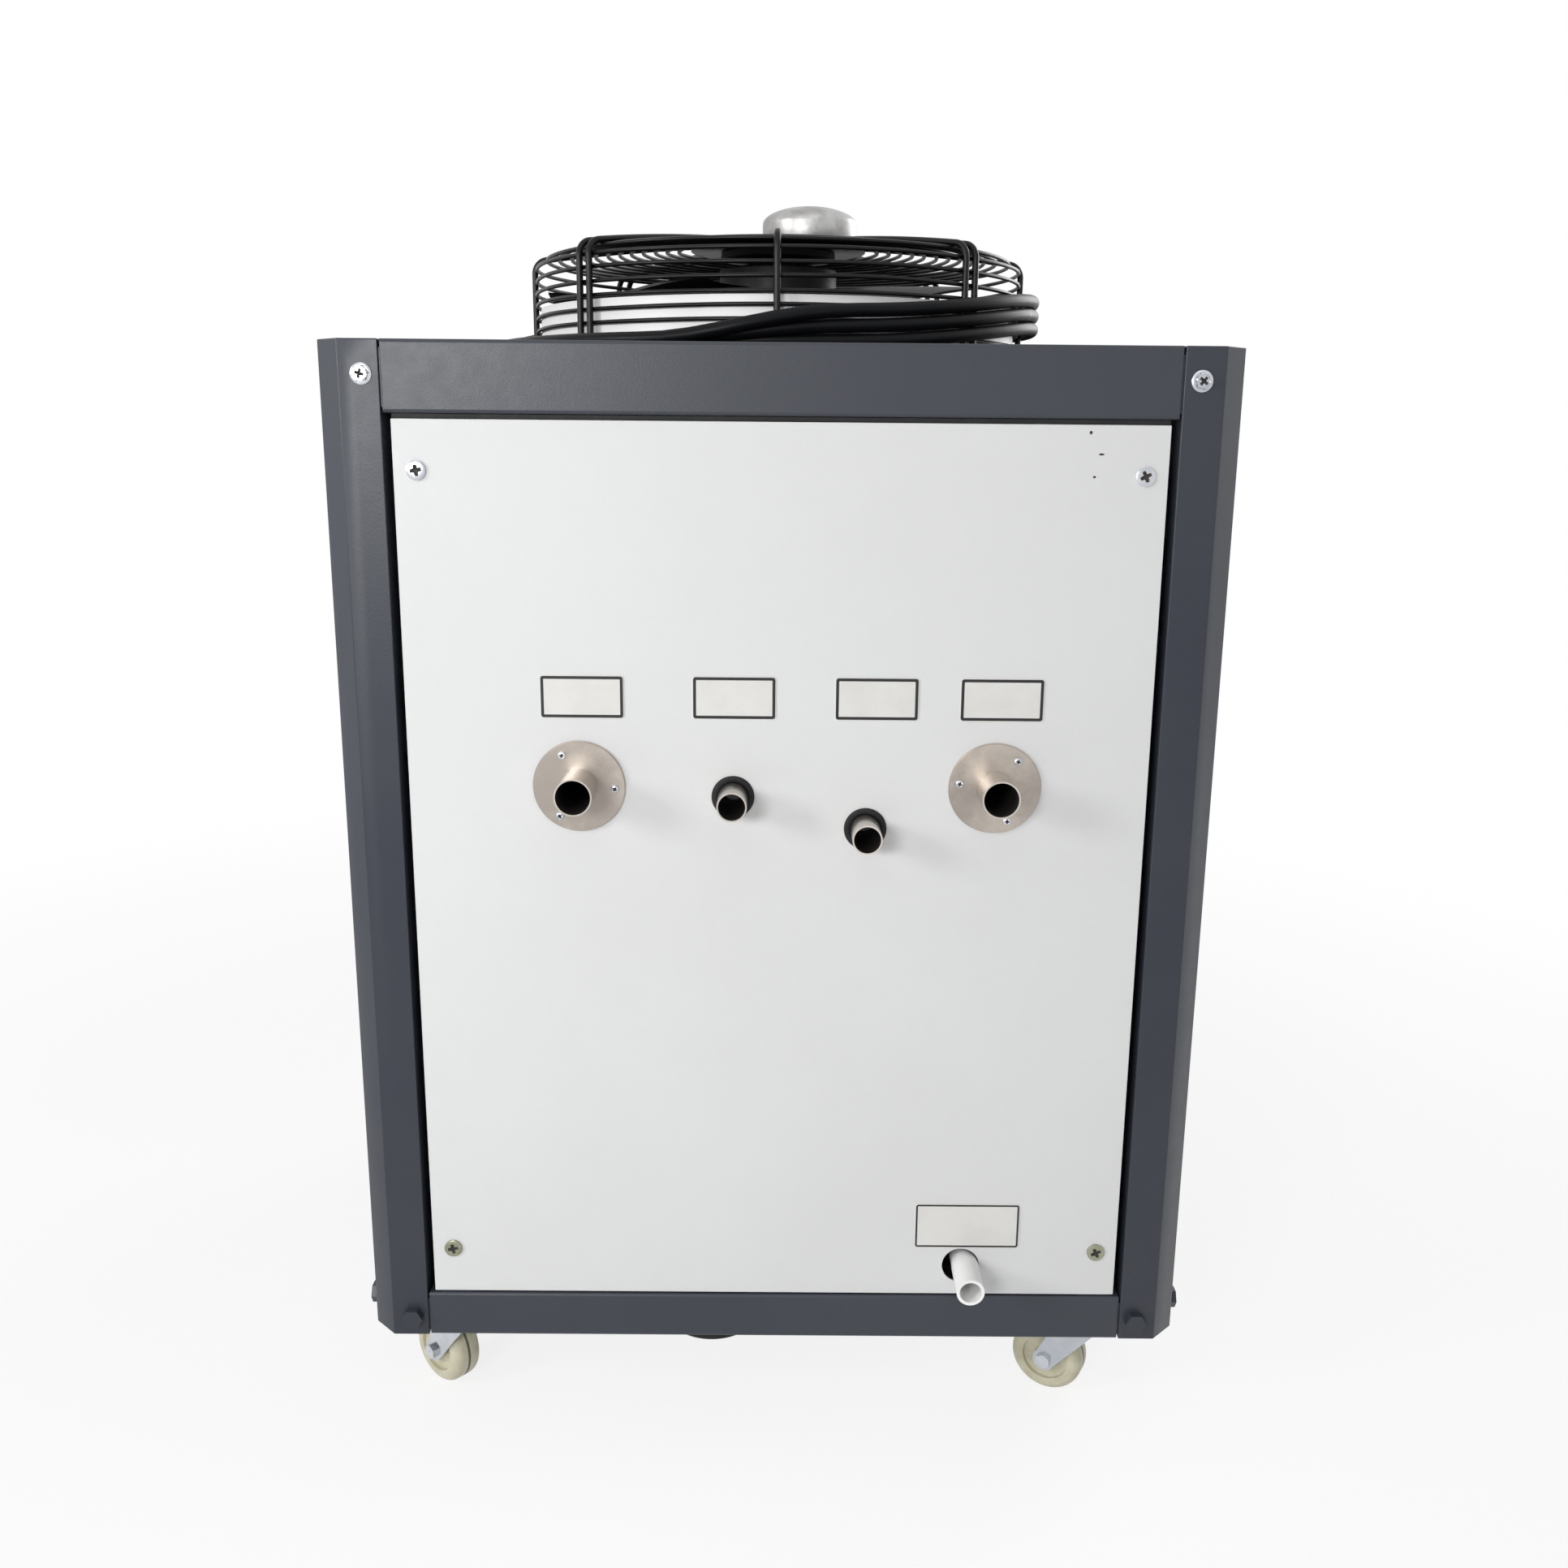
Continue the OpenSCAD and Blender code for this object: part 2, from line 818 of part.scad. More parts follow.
module water_outlet_pipe() {
    r = water_pipe_r - pipe_step;
    bend = 2.2 * water_pipe_r;
    y = pump_y + volute_w / 2;
    z = top_z - outlet_at[1];
    foot = pan_z + pump_z + volute_r + pump_boss_h;
    color([0.70, 0.68, 0.65]) {
        stub(outlet_at, water_pipe_r, water_bore_r, water_out, y - bend + half_d);
        translate([outlet_at[0], y - bend, z - bend])
            rotate([0, -90, 0])
                rotate_extrude(angle = 90, $fn = 64)
                    translate([bend, 0])
                        difference() {
                            circle(r = r, $fn = 48);
                            circle(r = water_bore_r, $fn = 48);
                        }
        translate([outlet_at[0], y, foot])
            difference() {
                cylinder(r = r, h = z - bend - foot);
                translate([0, 0, -cut])
                    cylinder(r = water_bore_r, h = z - bend - foot + 2 * cut);
            }
    }
}

module side_entry(at, r, bore, out) {
    bend = at[0] - tank_w / 2 - frame_wall;
    y = side_pipe_y - bend;
    stub(at, r, bore, out, y + half_d);
    plan_bend(at[0], y, top_z - at[1], r - pipe_step, bore, bend);
    translate([tank_w / 2, side_pipe_y, top_z - at[1]])
        rotate([0, 90, 0])
            difference() {
                cylinder(r = r - pipe_step, h = frame_wall);
                translate([0, 0, -cut])
                    cylinder(r = bore, h = frame_wall + 2 * cut);
            }
}

module water_inlet_pipe() {
    color([0.70, 0.68, 0.65])
        side_entry(inlet_at, water_pipe_r, water_bore_r, water_out);
}

module makeup_pipe() {
    color([0.66, 0.66, 0.63])
        stub(makeup_at, small_pipe_r, small_bore_r, small_out, tank_gap_front);
}

module overflow_pipe() {
    color([0.66, 0.66, 0.63])
        stub(overflow_at, small_pipe_r, small_bore_r, small_out, tank_gap_front);
}

module drain_pipe() {
    color([0.92, 0.92, 0.91])
        side_entry(drain_at, drain_pipe_r, drain_bore_r, drain_out);
}

module pipe_grommets() {
    color([0.06, 0.06, 0.07])
        for (at = [makeup_at, overflow_at])
            translate([at[0], -half_d + panel_face, top_z - at[1]])
                rotate([90, 0, 0])
                    difference() {
                        union() {
                            cylinder(r = grommet_r, h = grommet_wall);
                            translate([0, 0, -sheet])
                                cylinder(r = grommet_r - grommet_lip, h = sheet);
                            translate([0, 0, -sheet - grommet_wall])
                                cylinder(r = grommet_r, h = grommet_wall);
                        }
                        translate([0, 0, -sheet - grommet_wall - cut])
                            cylinder(r = small_pipe_r - pipe_step, h = sheet + 2 * grommet_wall + 2 * cut);
                    }
}

// Rubber cap on the clean-out hole under the front of the base pan
module base_bung() {
    color([0.07, 0.07, 0.08])
        translate([bung_at[0], -half_d + bung_at[1], base_z])
            rotate_extrude($fn = 96)
                polygon([
                    [0, frame_wall * 1.8], [bung_neck_r, frame_wall * 1.8], [bung_neck_r, 0], [bung_r, 0],
                    [bung_r, bung_edge - bung_drop], [bung_r - bung_edge * 0.3, bung_edge * 0.3 - bung_drop],
                    [bung_r - bung_edge, -bung_drop], [0, -bung_drop]
                ]);
}

// Fan: collar, wire guard, motor and rotor, all about the fan axis

module on_fan() {
    translate([fan_x, 0, top_z])
        children();
}

module fan_collar() {
    outer = collar_r + collar_wall;
    color([0.93, 0.93, 0.92])
        on_fan()
            rotate_extrude($fn = 96)
                polygon([
                    [collar_r, -collar_below], [outer, -collar_below], [outer, 0], [collar_flange_r, 0],
                    [collar_flange_r, collar_flange_t], [outer, collar_flange_t],
                    [outer, collar_h], [collar_r, collar_h]
                ]);
}

function dome_at(r) = dome_z + dome_rise * (1 - pow(r / dome_r, 2));

// Wire from its foot up the side, over the shoulder and along the dome, as radius and height
rib_line = concat(
    [[rib_path_r, collar_flange_t], [rib_path_r, shoulder_z]],
    [
        for (i = [1 : 4])
            let (a = (90 - dome_slope) * i / 4)
            [rib_path_r - shoulder_r + shoulder_r * cos(a), shoulder_z + shoulder_r * sin(a)]
    ],
    [
        for (i = [1 : 6])
            let (r = dome_r + (rib_end_r - dome_r) * i / 6)
            [r, dome_at(r)]
    ]
);

module rib(offset) {
    sweep([for (q = rib_line) [q[0], offset, q[1]]], rib_r, 8);
}

// The rings lie inside the ribs, welded to them
module guard_rings() {
    top_rings = floor((dome_r - ring_pitch / 4 - plate_r) / ring_pitch);
    color([0.05, 0.05, 0.06])
        on_fan() {
            for (i = [0 : side_ring_count - 1])
                translate([0, 0, first_ring_z + i * ring_pitch])
                    ring_wire(side_ring_r, ring_r);
            for (i = [1 : top_rings])
                translate([0, 0, dome_at(plate_r + i * ring_pitch) - ring_in])
                    ring_wire(plate_r + i * ring_pitch, ring_r);
        }
}

module guard_ribs() {
    color([0.05, 0.05, 0.06])
        on_fan() {
            for (a = rib_angles)
                rotate([0, 0, a]) {
                    if (a % 90 == 0)
                        rib(0);
                    else {
                        rib(rib_pair / 2);
                        rib(-rib_pair / 2);
                        translate([rib_path_r - lug_depth / 2, -rib_pair / 2, collar_flange_t])
                            difference() {
                                cube([lug_depth, rib_pair, lug_t]);
                                translate([lug_depth / 2, rib_pair / 2, -cut])
                                    cylinder(r = guard_screw_r / 2 + hole_gap, h = lug_t + 2 * cut, $fn = 24);
                            }
                    }
                }
            difference() {
                translate([0, 0, plate_z])
                    cylinder(r = plate_r, h = plate_t, $fn = 96);
                translate([0, 0, plate_z - cut])
                    cylinder(r = plate_hole_r, h = plate_t + 2 * cut);
                for (a = [45 : 90 : 315])
                    rotate([0, 0, a])
                        translate([motor_screw_pcd_r, 0, plate_z - cut])
                            cylinder(r = motor_screw_r / 2 + hole_gap, h = plate_t + 2 * cut, $fn = 24);
            }
        }
}

module guard_screws() {
    color("silver")
        on_fan()
            for (a = [45 : 90 : 315])
                rotate([0, 0, a]) {
                    translate([rib_path_r, 0, collar_flange_t + lug_t])
                        cylinder(r = guard_screw_r, h = guard_screw_h, $fn = 32);
                    translate([rib_path_r, 0, collar_flange_t])
                        cylinder(r = guard_screw_r / 2, h = lug_t, $fn = 24);
                    translate([motor_screw_pcd_r, 0, plate_z - plate_t])
                        cylinder(r = motor_screw_r / 2, h = 2 * plate_t, $fn = 24);
                    translate([motor_screw_pcd_r, 0, plate_z + plate_t])
                        cylinder(r = motor_screw_r, h = motor_screw_h, $fn = 6);
                }
}

module fan_motor() {
    color([0.20, 0.20, 0.21])
        on_fan()
            difference() {
                union() {
                    translate([0, 0, plate_z - motor_flange_t])
                        cylinder(r = motor_flange_r, h = motor_flange_t);
                    translate([0, 0, plate_z])
                        cylinder(r = plate_hole_r - hole_gap, h = plate_t);
                    translate([0, 0, motor_bottom])
                        cylinder(r = motor_core_r, h = plate_z - motor_flange_t - motor_bottom);
                }
                translate([0, 0, motor_bottom - cut])
                    cylinder(r = shaft_r + run_gap, h = shaft_top + turn_gap - motor_bottom + cut);
                for (a = [45 : 90 : 315])
                    rotate([0, 0, a])
                        translate([motor_screw_pcd_r, 0, plate_z - plate_t - hole_gap])
                            cylinder(r = motor_screw_r / 2 + hole_gap, h = plate_t + cut, $fn = 24);
            }
}

// Domed cover of the motor's terminals, set to one side of the axis
module motor_cap() {
    color([0.62, 0.61, 0.60])
        translate([fan_x + cap_shift, 0, top_z + plate_z + plate_t])
            difference() {
                rotate_extrude($fn = 64)
                    polygon(concat(
                        [[0, 0], [cap_r, 0], [cap_r, cap_edge]],
                        [
                            for (i = [1 : 10])
                                let (a = 9 * i)
                                [cap_r * cos(a), cap_edge + (cap_h - cap_edge) * sin(a)]
                        ]
                    ));
                for (s = [-1, 1])
                    translate([motor_screw_pcd_r * cos(45) - cap_shift, s * motor_screw_pcd_r * sin(45), -cut])
                        cylinder(r = motor_screw_r + hole_gap, h = motor_screw_h + cut + hole_gap, $fn = 24);
            }
}

// Point on a blade: u runs from root to tip, c across the chord, side is the upper or lower face
function blade_point(u, c, side) =
    let (
        root = cup_r - cup_wall / 2,
        r = root + u * (blade_r - root),
        half = blade_half_angle[0] + u * (blade_half_angle[1] - blade_half_angle[0]),
        axial = collar_h * (blade_axial_share[0] + u * (blade_axial_share[1] - blade_axial_share[0])),
        a = blade_sweep * u * u + (2 * c - 1) * half,
        z = blade_mid_z + (c - 0.5) * axial + blade_camber * (1 - pow(2 * c - 1, 2)) + side * blade_t / 2
    )
    [r * cos(a), r * sin(a), z];

module blade() {
    nu = blade_rows;
    nc = blade_cols;
    row = nc + 1;
    sheet_size = (nu + 1) * row;
    points = [
        for (side = [-1, 1], i = [0 : nu], j = [0 : nc])
            blade_point(i / nu, j / nc, side)
    ];
    low = [
        for (i = [0 : nu - 1], j = [0 : nc - 1])
            let (q = i * row + j)
            each [[q, q + row, q + row + 1], [q, q + row + 1, q + 1]]
    ];
    high = [for (f = low) [for (k = [2, 1, 0]) f[k] + sheet_size]];
    rim = concat(
        [for (j = [0 : nc]) j],
        [for (i = [1 : nu]) i * row + nc],
        [for (j = [nc - 1 : -1 : 0]) nu * row + j],
        [for (i = [nu - 1 : -1 : 1]) i * row]
    );
    edge = [
        for (k = [0 : len(rim) - 1])
            let (a = rim[k], b = rim[(k + 1) % len(rim)])
            each [[a, b, b + sheet_size], [a, b + sheet_size, a + sheet_size]]
    ];
    polyhedron(points, concat(low, high, edge));
}

module fan_rotor() {
    color([0.09, 0.09, 0.10])
        on_fan() {
            difference() {
                translate([0, 0, cup_z0])
                    cylinder(r = cup_r, h = cup_z1 - cup_z0);
                translate([0, 0, cup_z0 + cup_floor])
                    cylinder(r = cup_r - cup_wall, h = cup_z1 - cup_z0);
            }
            translate([0, 0, cup_z0 + cup_floor / 2])
                cylinder(r = shaft_r, h = shaft_top - cup_z0 - cup_floor / 2);
            for (i = [0 : blade_count - 1])
                rotate([0, 0, 360 * i / blade_count])
                    blade();
        }
}

// Power cable

module cable_box() {
    color([0.08, 0.08, 0.09])
        translate([box_at[0] - box_size[0] / 2, box_at[1] - box_size[1] / 2, top_z])
            difference() {
                cube(box_size);
                translate([sheet, sheet, -cut])
                    cube([box_size[0] - 2 * sheet, box_size[1] - 2 * sheet, box_size[2] - sheet + cut]);
            }
}

module cable_gland() {
    color([0.05, 0.05, 0.05])
        translate([gland_x, box_at[1] + box_size[1] / 2, top_z + gland_z])
            rotate([-90, 0, 0]) {
                cylinder(r = gland_hex_r, h = gland_hex_h, $fn = 6);
                translate([0, 0, gland_hex_h])
                    cylinder(r1 = gland_hex_r - 1.5 * hole_gap, r2 = gland_tip_r, h = gland_taper, $fn = 48);
            }
}

// Layer of the coil after so many turns, the tilt of its stack at an angle, and a point on it
function coil_layer(k) =
    floor(k) + rise((k - floor(k) - climb_from_share) / (climb_to_share - climb_from_share));
function away(a, b) = abs((a - b + 540) % 360 - 180);
function coil_tilt(a) = 90 * rise((away(a, flat_at) - flat_half) / (stacked_at - flat_half));
function coil_lift(a) = lift_h * rise((lift_end - away(a, lifted_at)) / (lift_end - lift_full));
function coil_point(k) =
    let (
        a = coil_start + 360 * k,
        m = coil_layer(k) * coil_step,
        b = coil_tilt(a % 360),
        r = coil_r + m * cos(b)
    )
    [fan_x + r * cos(a), r * sin(a), top_z + cable_r + rest_gap + m * sin(b) + coil_lift(a % 360)];
function coil_heading(k) = let (a = coil_start + 360 * k) [-sin(a), cos(a), 0];

coil_rings = ceil(cable_turns * coil_rings_a_turn);
coil_path = concat(
    [coil_point(0) - cable_d * coil_heading(0)],
    [for (i = [0 : coil_rings]) coil_point(cable_turns * i / coil_rings)],
    [coil_point(cable_turns) + cable_d * coil_heading(cable_turns)]
);
coil_gap = min([
    for (i = [0 : len(coil_path) - 1])
        for (j = [i + floor(coil_rings_a_turn / 2) : 1 : len(coil_path) - 1])
            norm(coil_path[i] - coil_path[j]) - cable_d
]);
echo(coil_least_gap_mm = coil_gap);

lead_path = concat([for (p = lead_route) p + [0, 0, top_z]], [coil_path[0]]);

module power_cable_lead() {
    color([0.04, 0.04, 0.05])
        sweep(lead_path, cable_r, lead_sides);
}

module power_cable_coil() {
    color([0.04, 0.04, 0.05])
        sweep(coil_path, cable_r, coil_sides);
}

// Casters

caster_spot = [half_w - caster_inset_x, half_d - caster_inset_y];
fork_z1 = caster_h - caster_plate_t - race_h - turn_gap;
fork_z0 = fork_z1 - fork_top_h;
kingpin_z0 = fork_z0 - turn_gap - kingpin_head_h;

module caster_plates() {
    color([0.75, 0.76, 0.77])
        for (sx = [-1, 1], sy = [-1, 1])
            translate([sx * caster_spot[0], sy * caster_spot[1], 0]) {
                translate([-caster_plate_w / 2, -caster_plate_d / 2, caster_h - caster_plate_t])
                    cube([caster_plate_w, caster_plate_d, caster_plate_t]);
                translate([0, 0, caster_h - caster_plate_t - race_h])
                    cylinder(r = race_r, h = race_h);
                translate([0, 0, kingpin_z0])
                    cylinder(r = kingpin_r, h = caster_h - caster_plate_t - kingpin_z0);
                translate([0, 0, kingpin_z0])
                    cylinder(r = kingpin_head_r, h = kingpin_head_h);
            }
}

// Puts children made for a caster that trails along +Y at its place and swing
module at_caster(c) {
    translate([c[0] * caster_spot[0], c[1] * caster_spot[1], 0])
        rotate([0, 0, c[2]])
            children();
}

module fork_leg() {
    head = race_r - fork_wall;
    rotate([90, 0, 90])
        linear_extrude(fork_wall)
            difference() {
                union() {
                    polygon([
                        [-head * 0.8, fork_z1 - fork_top_h / 2], [-head * 0.8, fork_z0 - fork_wall],
                        [caster_trail - axle_boss_r * 0.8, wheel_r - axle_boss_r * 0.6],
                        [caster_trail + axle_boss_r, wheel_r], [head, fork_z0], [head, fork_z1 - fork_top_h / 2]
                    ]);
                    translate([caster_trail, wheel_r])
                        circle(r = axle_boss_r);
                }
                translate([caster_trail, wheel_r])
                    circle(r = axle_r);
            }
}

module caster_fork(c) {
    gap = wheel_w / 2 + fork_side_gap;
    color([0.72, 0.74, 0.76])
        at_caster(c)
            difference() {
                union() {
                    translate([0, 0, fork_z0])
                        cylinder(r = race_r, h = fork_top_h);
                    translate([gap, 0, 0])
                        fork_leg();
                    translate([-gap - fork_wall, 0, 0])
                        fork_leg();
                }
                translate([0, 0, fork_z0 - cut])
                    cylinder(r = kingpin_r + run_gap, h = fork_top_h + 2 * cut);
            }
}

// Half section of a wheel with round shoulders, as radius and offset from the middle
function wheel_shoulder(s) = [
    for (i = [0 : 5])
        let (a = 18 * i)
        [wheel_r - wheel_edge * (1 - cos(a)), s * (wheel_w / 2 - wheel_edge * (1 - sin(a)))]
];

module caster_wheel(c) {
    right = wheel_shoulder(1);
    left = wheel_shoulder(-1);
    hollow_floor = wheel_w / 2 - hub_hollow_depth;
    color([0.84, 0.82, 0.72])
        at_caster(c)
            translate([0, caster_trail, wheel_r])
                rotate([0, 90, 0])
                    rotate_extrude($fn = 96)
                        polygon(concat(
                            [[axle_r + run_gap, wheel_w / 2], [axle_boss_r, wheel_w / 2]],
                            [[axle_boss_r, hollow_floor], [hub_hollow_r, hollow_floor]],
                            [[hub_hollow_r, wheel_w / 2]],
                            [for (i = [5 : -1 : 0]) right[i]],
                            [[wheel_r, seam_w / 2], [wheel_r - seam_depth, 0], [wheel_r, -seam_w / 2]],
                            left,
                            [[hub_hollow_r, -wheel_w / 2], [hub_hollow_r, -hollow_floor]],
                            [[axle_boss_r, -hollow_floor], [axle_boss_r, -wheel_w / 2]],
                            [[axle_r + run_gap, -wheel_w / 2]]
                        ));
}

module caster_axle(c) {
    half = wheel_w / 2 + fork_side_gap + fork_wall;
    color("silver")
        at_caster(c)
            translate([0, caster_trail, wheel_r])
                rotate([0, 90, 0]) {
                    translate([0, 0, -half])
                        cylinder(r = axle_r, h = 2 * half);
                    for (z = [-half - axle_hex_h, half])
                        translate([0, 0, z])
                            cylinder(r = axle_hex_r, h = axle_hex_h, $fn = 6);
                }
}

// Works inside

module water_tank() {
    color([0.76, 0.77, 0.78])
        translate([-tank_w / 2, tank_y0, pan_z]) {
            difference() {
                cube([tank_w, tank_d, tank_h]);
                translate([tank_wall, tank_wall, tank_wall])
                    cube([tank_w - 2 * tank_wall, tank_d - 2 * tank_wall, tank_h]);
            }
            translate([-tank_lid_over, -tank_lid_over, tank_h])
                cube([tank_w + 2 * tank_lid_over, tank_d + 2 * tank_lid_over, tank_lid_t]);
        }
}

// Copper tube that goes down the middle of the tank, winds up it as a helix and leaves through the lid
module evaporator_coil() {
    steps = coil_turns * 12;
    up = pan_z + tank_h;
    low = up - (coil_turns + 1) * evap_pitch;
    mid_y = tank_y0 + tank_d / 2;
    start_r = evap_r / 2;
    end_y = mid_y + 2 * evap_tube_r;
    helix = [
        for (i = [1 : steps])
            let (a = 30 * i, r = start_r + (evap_r - start_r) * rise(i / 12))
            [r * cos(a), mid_y + r * sin(a), low + coil_turns * evap_pitch * i / steps]
    ];
    color([0.72, 0.45, 0.28])
        sweep(concat(
            [[start_r, mid_y, up], [start_r, mid_y, low + 3 * evap_tube_r]],
            [[start_r, mid_y + evap_tube_r, low + evap_tube_r]],
            helix,
            [[evap_r, mid_y + 1.5 * evap_tube_r, up - evap_pitch + evap_tube_r]],
            [[evap_r, end_y, up - evap_pitch + 3 * evap_tube_r], [evap_r, end_y, up]]
        ), evap_tube_r, 6);
}

module water_pump() {
    z = pan_z + pump_z;
    suction_y = tank_y0 + tank_d * 0.7;
    stub_r = water_pipe_r;
    color([0.30, 0.38, 0.46]) {
        translate([pump_x, pump_y + volute_w, z])
            rotate([90, 0, 0])
                cylinder(r = volute_r, h = volute_w);
        translate([pump_x, pump_y + volute_w / 2, z])
            cylinder(r = water_pipe_r + pump_boss_wall, h = volute_r + pump_boss_h);
        translate([pump_x, pump_y + volute_w + pump_len, z])
            rotate([90, 0, 0])
                cylinder(r = pump_r, h = pump_len);
        translate([pump_x - pump_foot_w / 2, pump_y + volute_w, pan_z])
            cube([pump_foot_w, pump_len * 0.8, pump_z - pump_r * 0.6]);
        translate([pump_x, pump_y, z])
            rotate([90, 0, 0])
                cylinder(r = stub_r, h = pump_y - suction_y);
        translate([pump_x, suction_y, z])
            sphere(r = stub_r * 1.15, $fn = 48);
        translate([pump_x, suction_y, z])
            rotate([0, 90, 0])
                cylinder(r = stub_r, h = -tank_w / 2 - pump_x);
    }
}

module compressor() {
    color([0.10, 0.10, 0.11])
        translate([comp_at[0], comp_at[1], pan_z]) {
            for (a = [90 : 120 : 330])
                rotate([0, 0, a])
                    translate([comp_foot_pcd_r, 0, 0])
                        cylinder(r = comp_foot_r, h = comp_foot_h + comp_plate_t + comp_seam);
            translate([0, 0, comp_foot_h])
                rotate([0, 0, 90])
                    cylinder(r = comp_foot_pcd_r + comp_foot_r / 2, h = comp_plate_t, $fn = 3);
            translate([0, 0, comp_foot_h])
                cylinder(r = comp_r, h = comp_h);
            for (b = comp_boss_at)
                translate([b[0], b[1], comp_foot_h + comp_h - comp_plate_t])
                    cylinder(r = comp_boss_r, h = comp_boss_h + comp_plate_t);
            translate([0, 0, comp_foot_h + comp_h])
                intersection() {
                    translate([-comp_r, -comp_r, -comp_seam])
                        cube([2 * comp_r, 2 * comp_r, comp_r]);
                    translate([0, 0, -comp_r / 2])
                        rotate([0, 0, 40])
                            sphere(r = (comp_r - comp_seam) * sqrt(5) / 2, $fn = 64);
                }
        }
}

cond_x = half_w - panel_fold - cond_gap - cond_t / 2;
cond_z1 = panel_z1 - cond_top_gap;
cond_pitch = (cond_z1 - pan_z) / (2 * cond_rows);
cond_h = cond_z1 - pan_z - cond_plate_over;

module condenser_coil(sx) {
    x = sx * cond_x;
    difference() {
        translate([x - cond_t / 2, -cond_half_d, pan_z + cond_plate_over])
            cube([cond_t, 2 * cond_half_d, cond_h]);
        translate([x - cond_t / 2 + sheet, -cond_half_d + 2 * sheet, pan_z + cond_plate_over + sheet])
            cube([cond_t - 2 * sheet, 2 * cond_half_d - 4 * sheet, cond_h - 2 * sheet]);
    }
    for (s = [-1, 1]) {
        translate([x - cond_t / 2 - cond_plate_over / 2, s * cond_half_d - cond_plate_t / 2, pan_z])
            cube([cond_t + cond_plate_over, cond_plate_t, cond_z1 - pan_z + cond_plate_over]);
        for (i = [0 : cond_rows - 1])
            translate([x, s * (cond_half_d + cond_plate_t / 2 - cut), pan_z + (2 * i + 1) * cond_pitch])
                mirror([0, s < 0 ? 1 : 0, 0])
                    rotate([0, 90, 0])
                        rotate_extrude(angle = 180, $fn = 48)
                            translate([cond_bend_r * 0.6, 0])
                                circle(r = cond_tube_r, $fn = 24);
    }
}

module condenser_coils() {
    color([0.74, 0.75, 0.77])
        for (sx = [-1, 1])
            condenser_coil(sx);
}

// Copper lines, with the receiver and the filter drier that sit in them
module line(corners) {
    sweep(rounded(corners, line_bend), line_r, line_sides);
}

module refrigerant_lines() {
    comp_top = pan_z + comp_foot_h + comp_h + comp_boss_h;
    high = comp_top + 2.5 * line_bend;
    face = cond_x - cond_t / 2;
    low = pan_z + cond_pitch;
    up = cond_z1 - cond_pitch;
    lid = pan_z + tank_h + tank_lid_t;
    rx = receiver_at[0];
    ry = receiver_at[1];
    back = comp_at[1] + comp_foot_pcd_r + comp_foot_r;
    mid_y = tank_y0 + tank_d / 2;
    suction = comp_boss_at[2];
    color([0.72, 0.45, 0.30]) {
        for (s = [-1, 1]) {
            x = comp_at[0] + comp_boss_at[s > 0 ? 1 : 0][0];
            turn_x = s > 0 ? (comp_at[0] + face) / 2 : -face / 2;
            line([
                [x, comp_at[1], comp_top], [x, comp_at[1], high + s * line_bend],
                [turn_x, comp_at[1], high + s * line_bend], [turn_x, comp_at[1], up],
                [s * face, comp_at[1], up]
            ]);
        }
        line([[face, ry, low], [rx + receiver_r - sheet, ry, low]]);
        line([[-face, back, low], [rx, back, low], [rx, ry + receiver_r - sheet, low]]);
        difference() {
            translate([rx, ry, pan_z])
                cylinder(r = receiver_r, h = receiver_h);
            translate([rx, ry, pan_z + 2 * sheet])
                cylinder(r = receiver_r - 2 * sheet, h = receiver_h - 4 * sheet);
        }
        line([
            [rx, ry, pan_z + receiver_h - sheet], [rx, ry, lid + 3 * line_bend],
            [evap_r / 2, ry, lid + 3 * line_bend], [evap_r / 2, mid_y, lid + 3 * line_bend],
            [evap_r / 2, mid_y, lid]
        ]);
        translate([rx, ry, pan_z + receiver_h + line_bend * 2])
            cylinder(r = drier_r, h = drier_len);
        line([
            [evap_r, mid_y + 2 * evap_tube_r, lid], [evap_r, mid_y + 2 * evap_tube_r, lid + 1.5 * line_bend],
            [comp_at[0], comp_at[1] + suction[1], lid + 1.5 * line_bend],
            [comp_at[0], comp_at[1] + suction[1], comp_top]
        ]);
    }
}

module electrical_box() {
    color([0.80, 0.81, 0.80])
        difference() {
            translate([ebox_x - ebox_size[0] / 2, half_d - panel_face - sheet - ebox_size[1], ebox_z])
                difference() {
                    cube(ebox_size);
                    translate([sheet, sheet, sheet])
                        cube(ebox_size - [2 * sheet, 2 * sheet + 3 * switch_seat, 2 * sheet]);
                }
            on_control(switch_at, sheet + switch_seat + cut)
                cylinder(r = switch_shaft_r + 4 * hole_gap, h = switch_seat + 2 * cut);
        }
}

// Controls, drawn as the rear panel is seen by someone who faces it

module on_control(at, back) {
    rotate([0, 0, 180])
        translate([at[0], -half_d + panel_face + back, top_z - at[1]])
            rotate([90, 0, 0])
                children();
}

module control_unit() {
    color([0.14, 0.15, 0.16]) {
        on_control(unit_at, 0) {
            translate([-unit_w / 2, -unit_h / 2, 0])
                cube([unit_w, unit_h, unit_t]);
            translate([-unit_w / 2 + screen_t * 6, -screen_h / 2, unit_t])
                cube([screen_w, screen_h, screen_t]);
            for (i = [0 : key_count - 1])
                translate([unit_w / 4 + (i % 2) * 3 * key_r, (i < 2 ? 1 : -1) * 1.5 * key_r, unit_t])
                    cylinder(r = key_r, h = screen_t, $fn = 32);
        }
        on_control(gauge_at, 0)
            cylinder(r = gauge_r, h = gauge_t);
        on_control(switch_at, 0)
            difference() {
                translate([-switch_plate / 2, -switch_plate / 2, 0])
                    cube([switch_plate, switch_plate, switch_plate_t]);
                translate([0, 0, -cut])
                    cylinder(r = switch_shaft_r + run_gap, h = switch_plate_t + 2 * cut);
            }
        for (x = lamp_places_x)
            on_control([x, lamp_drop], 0)
                cylinder(r = lamp_r, h = lamp_h);
    }
}

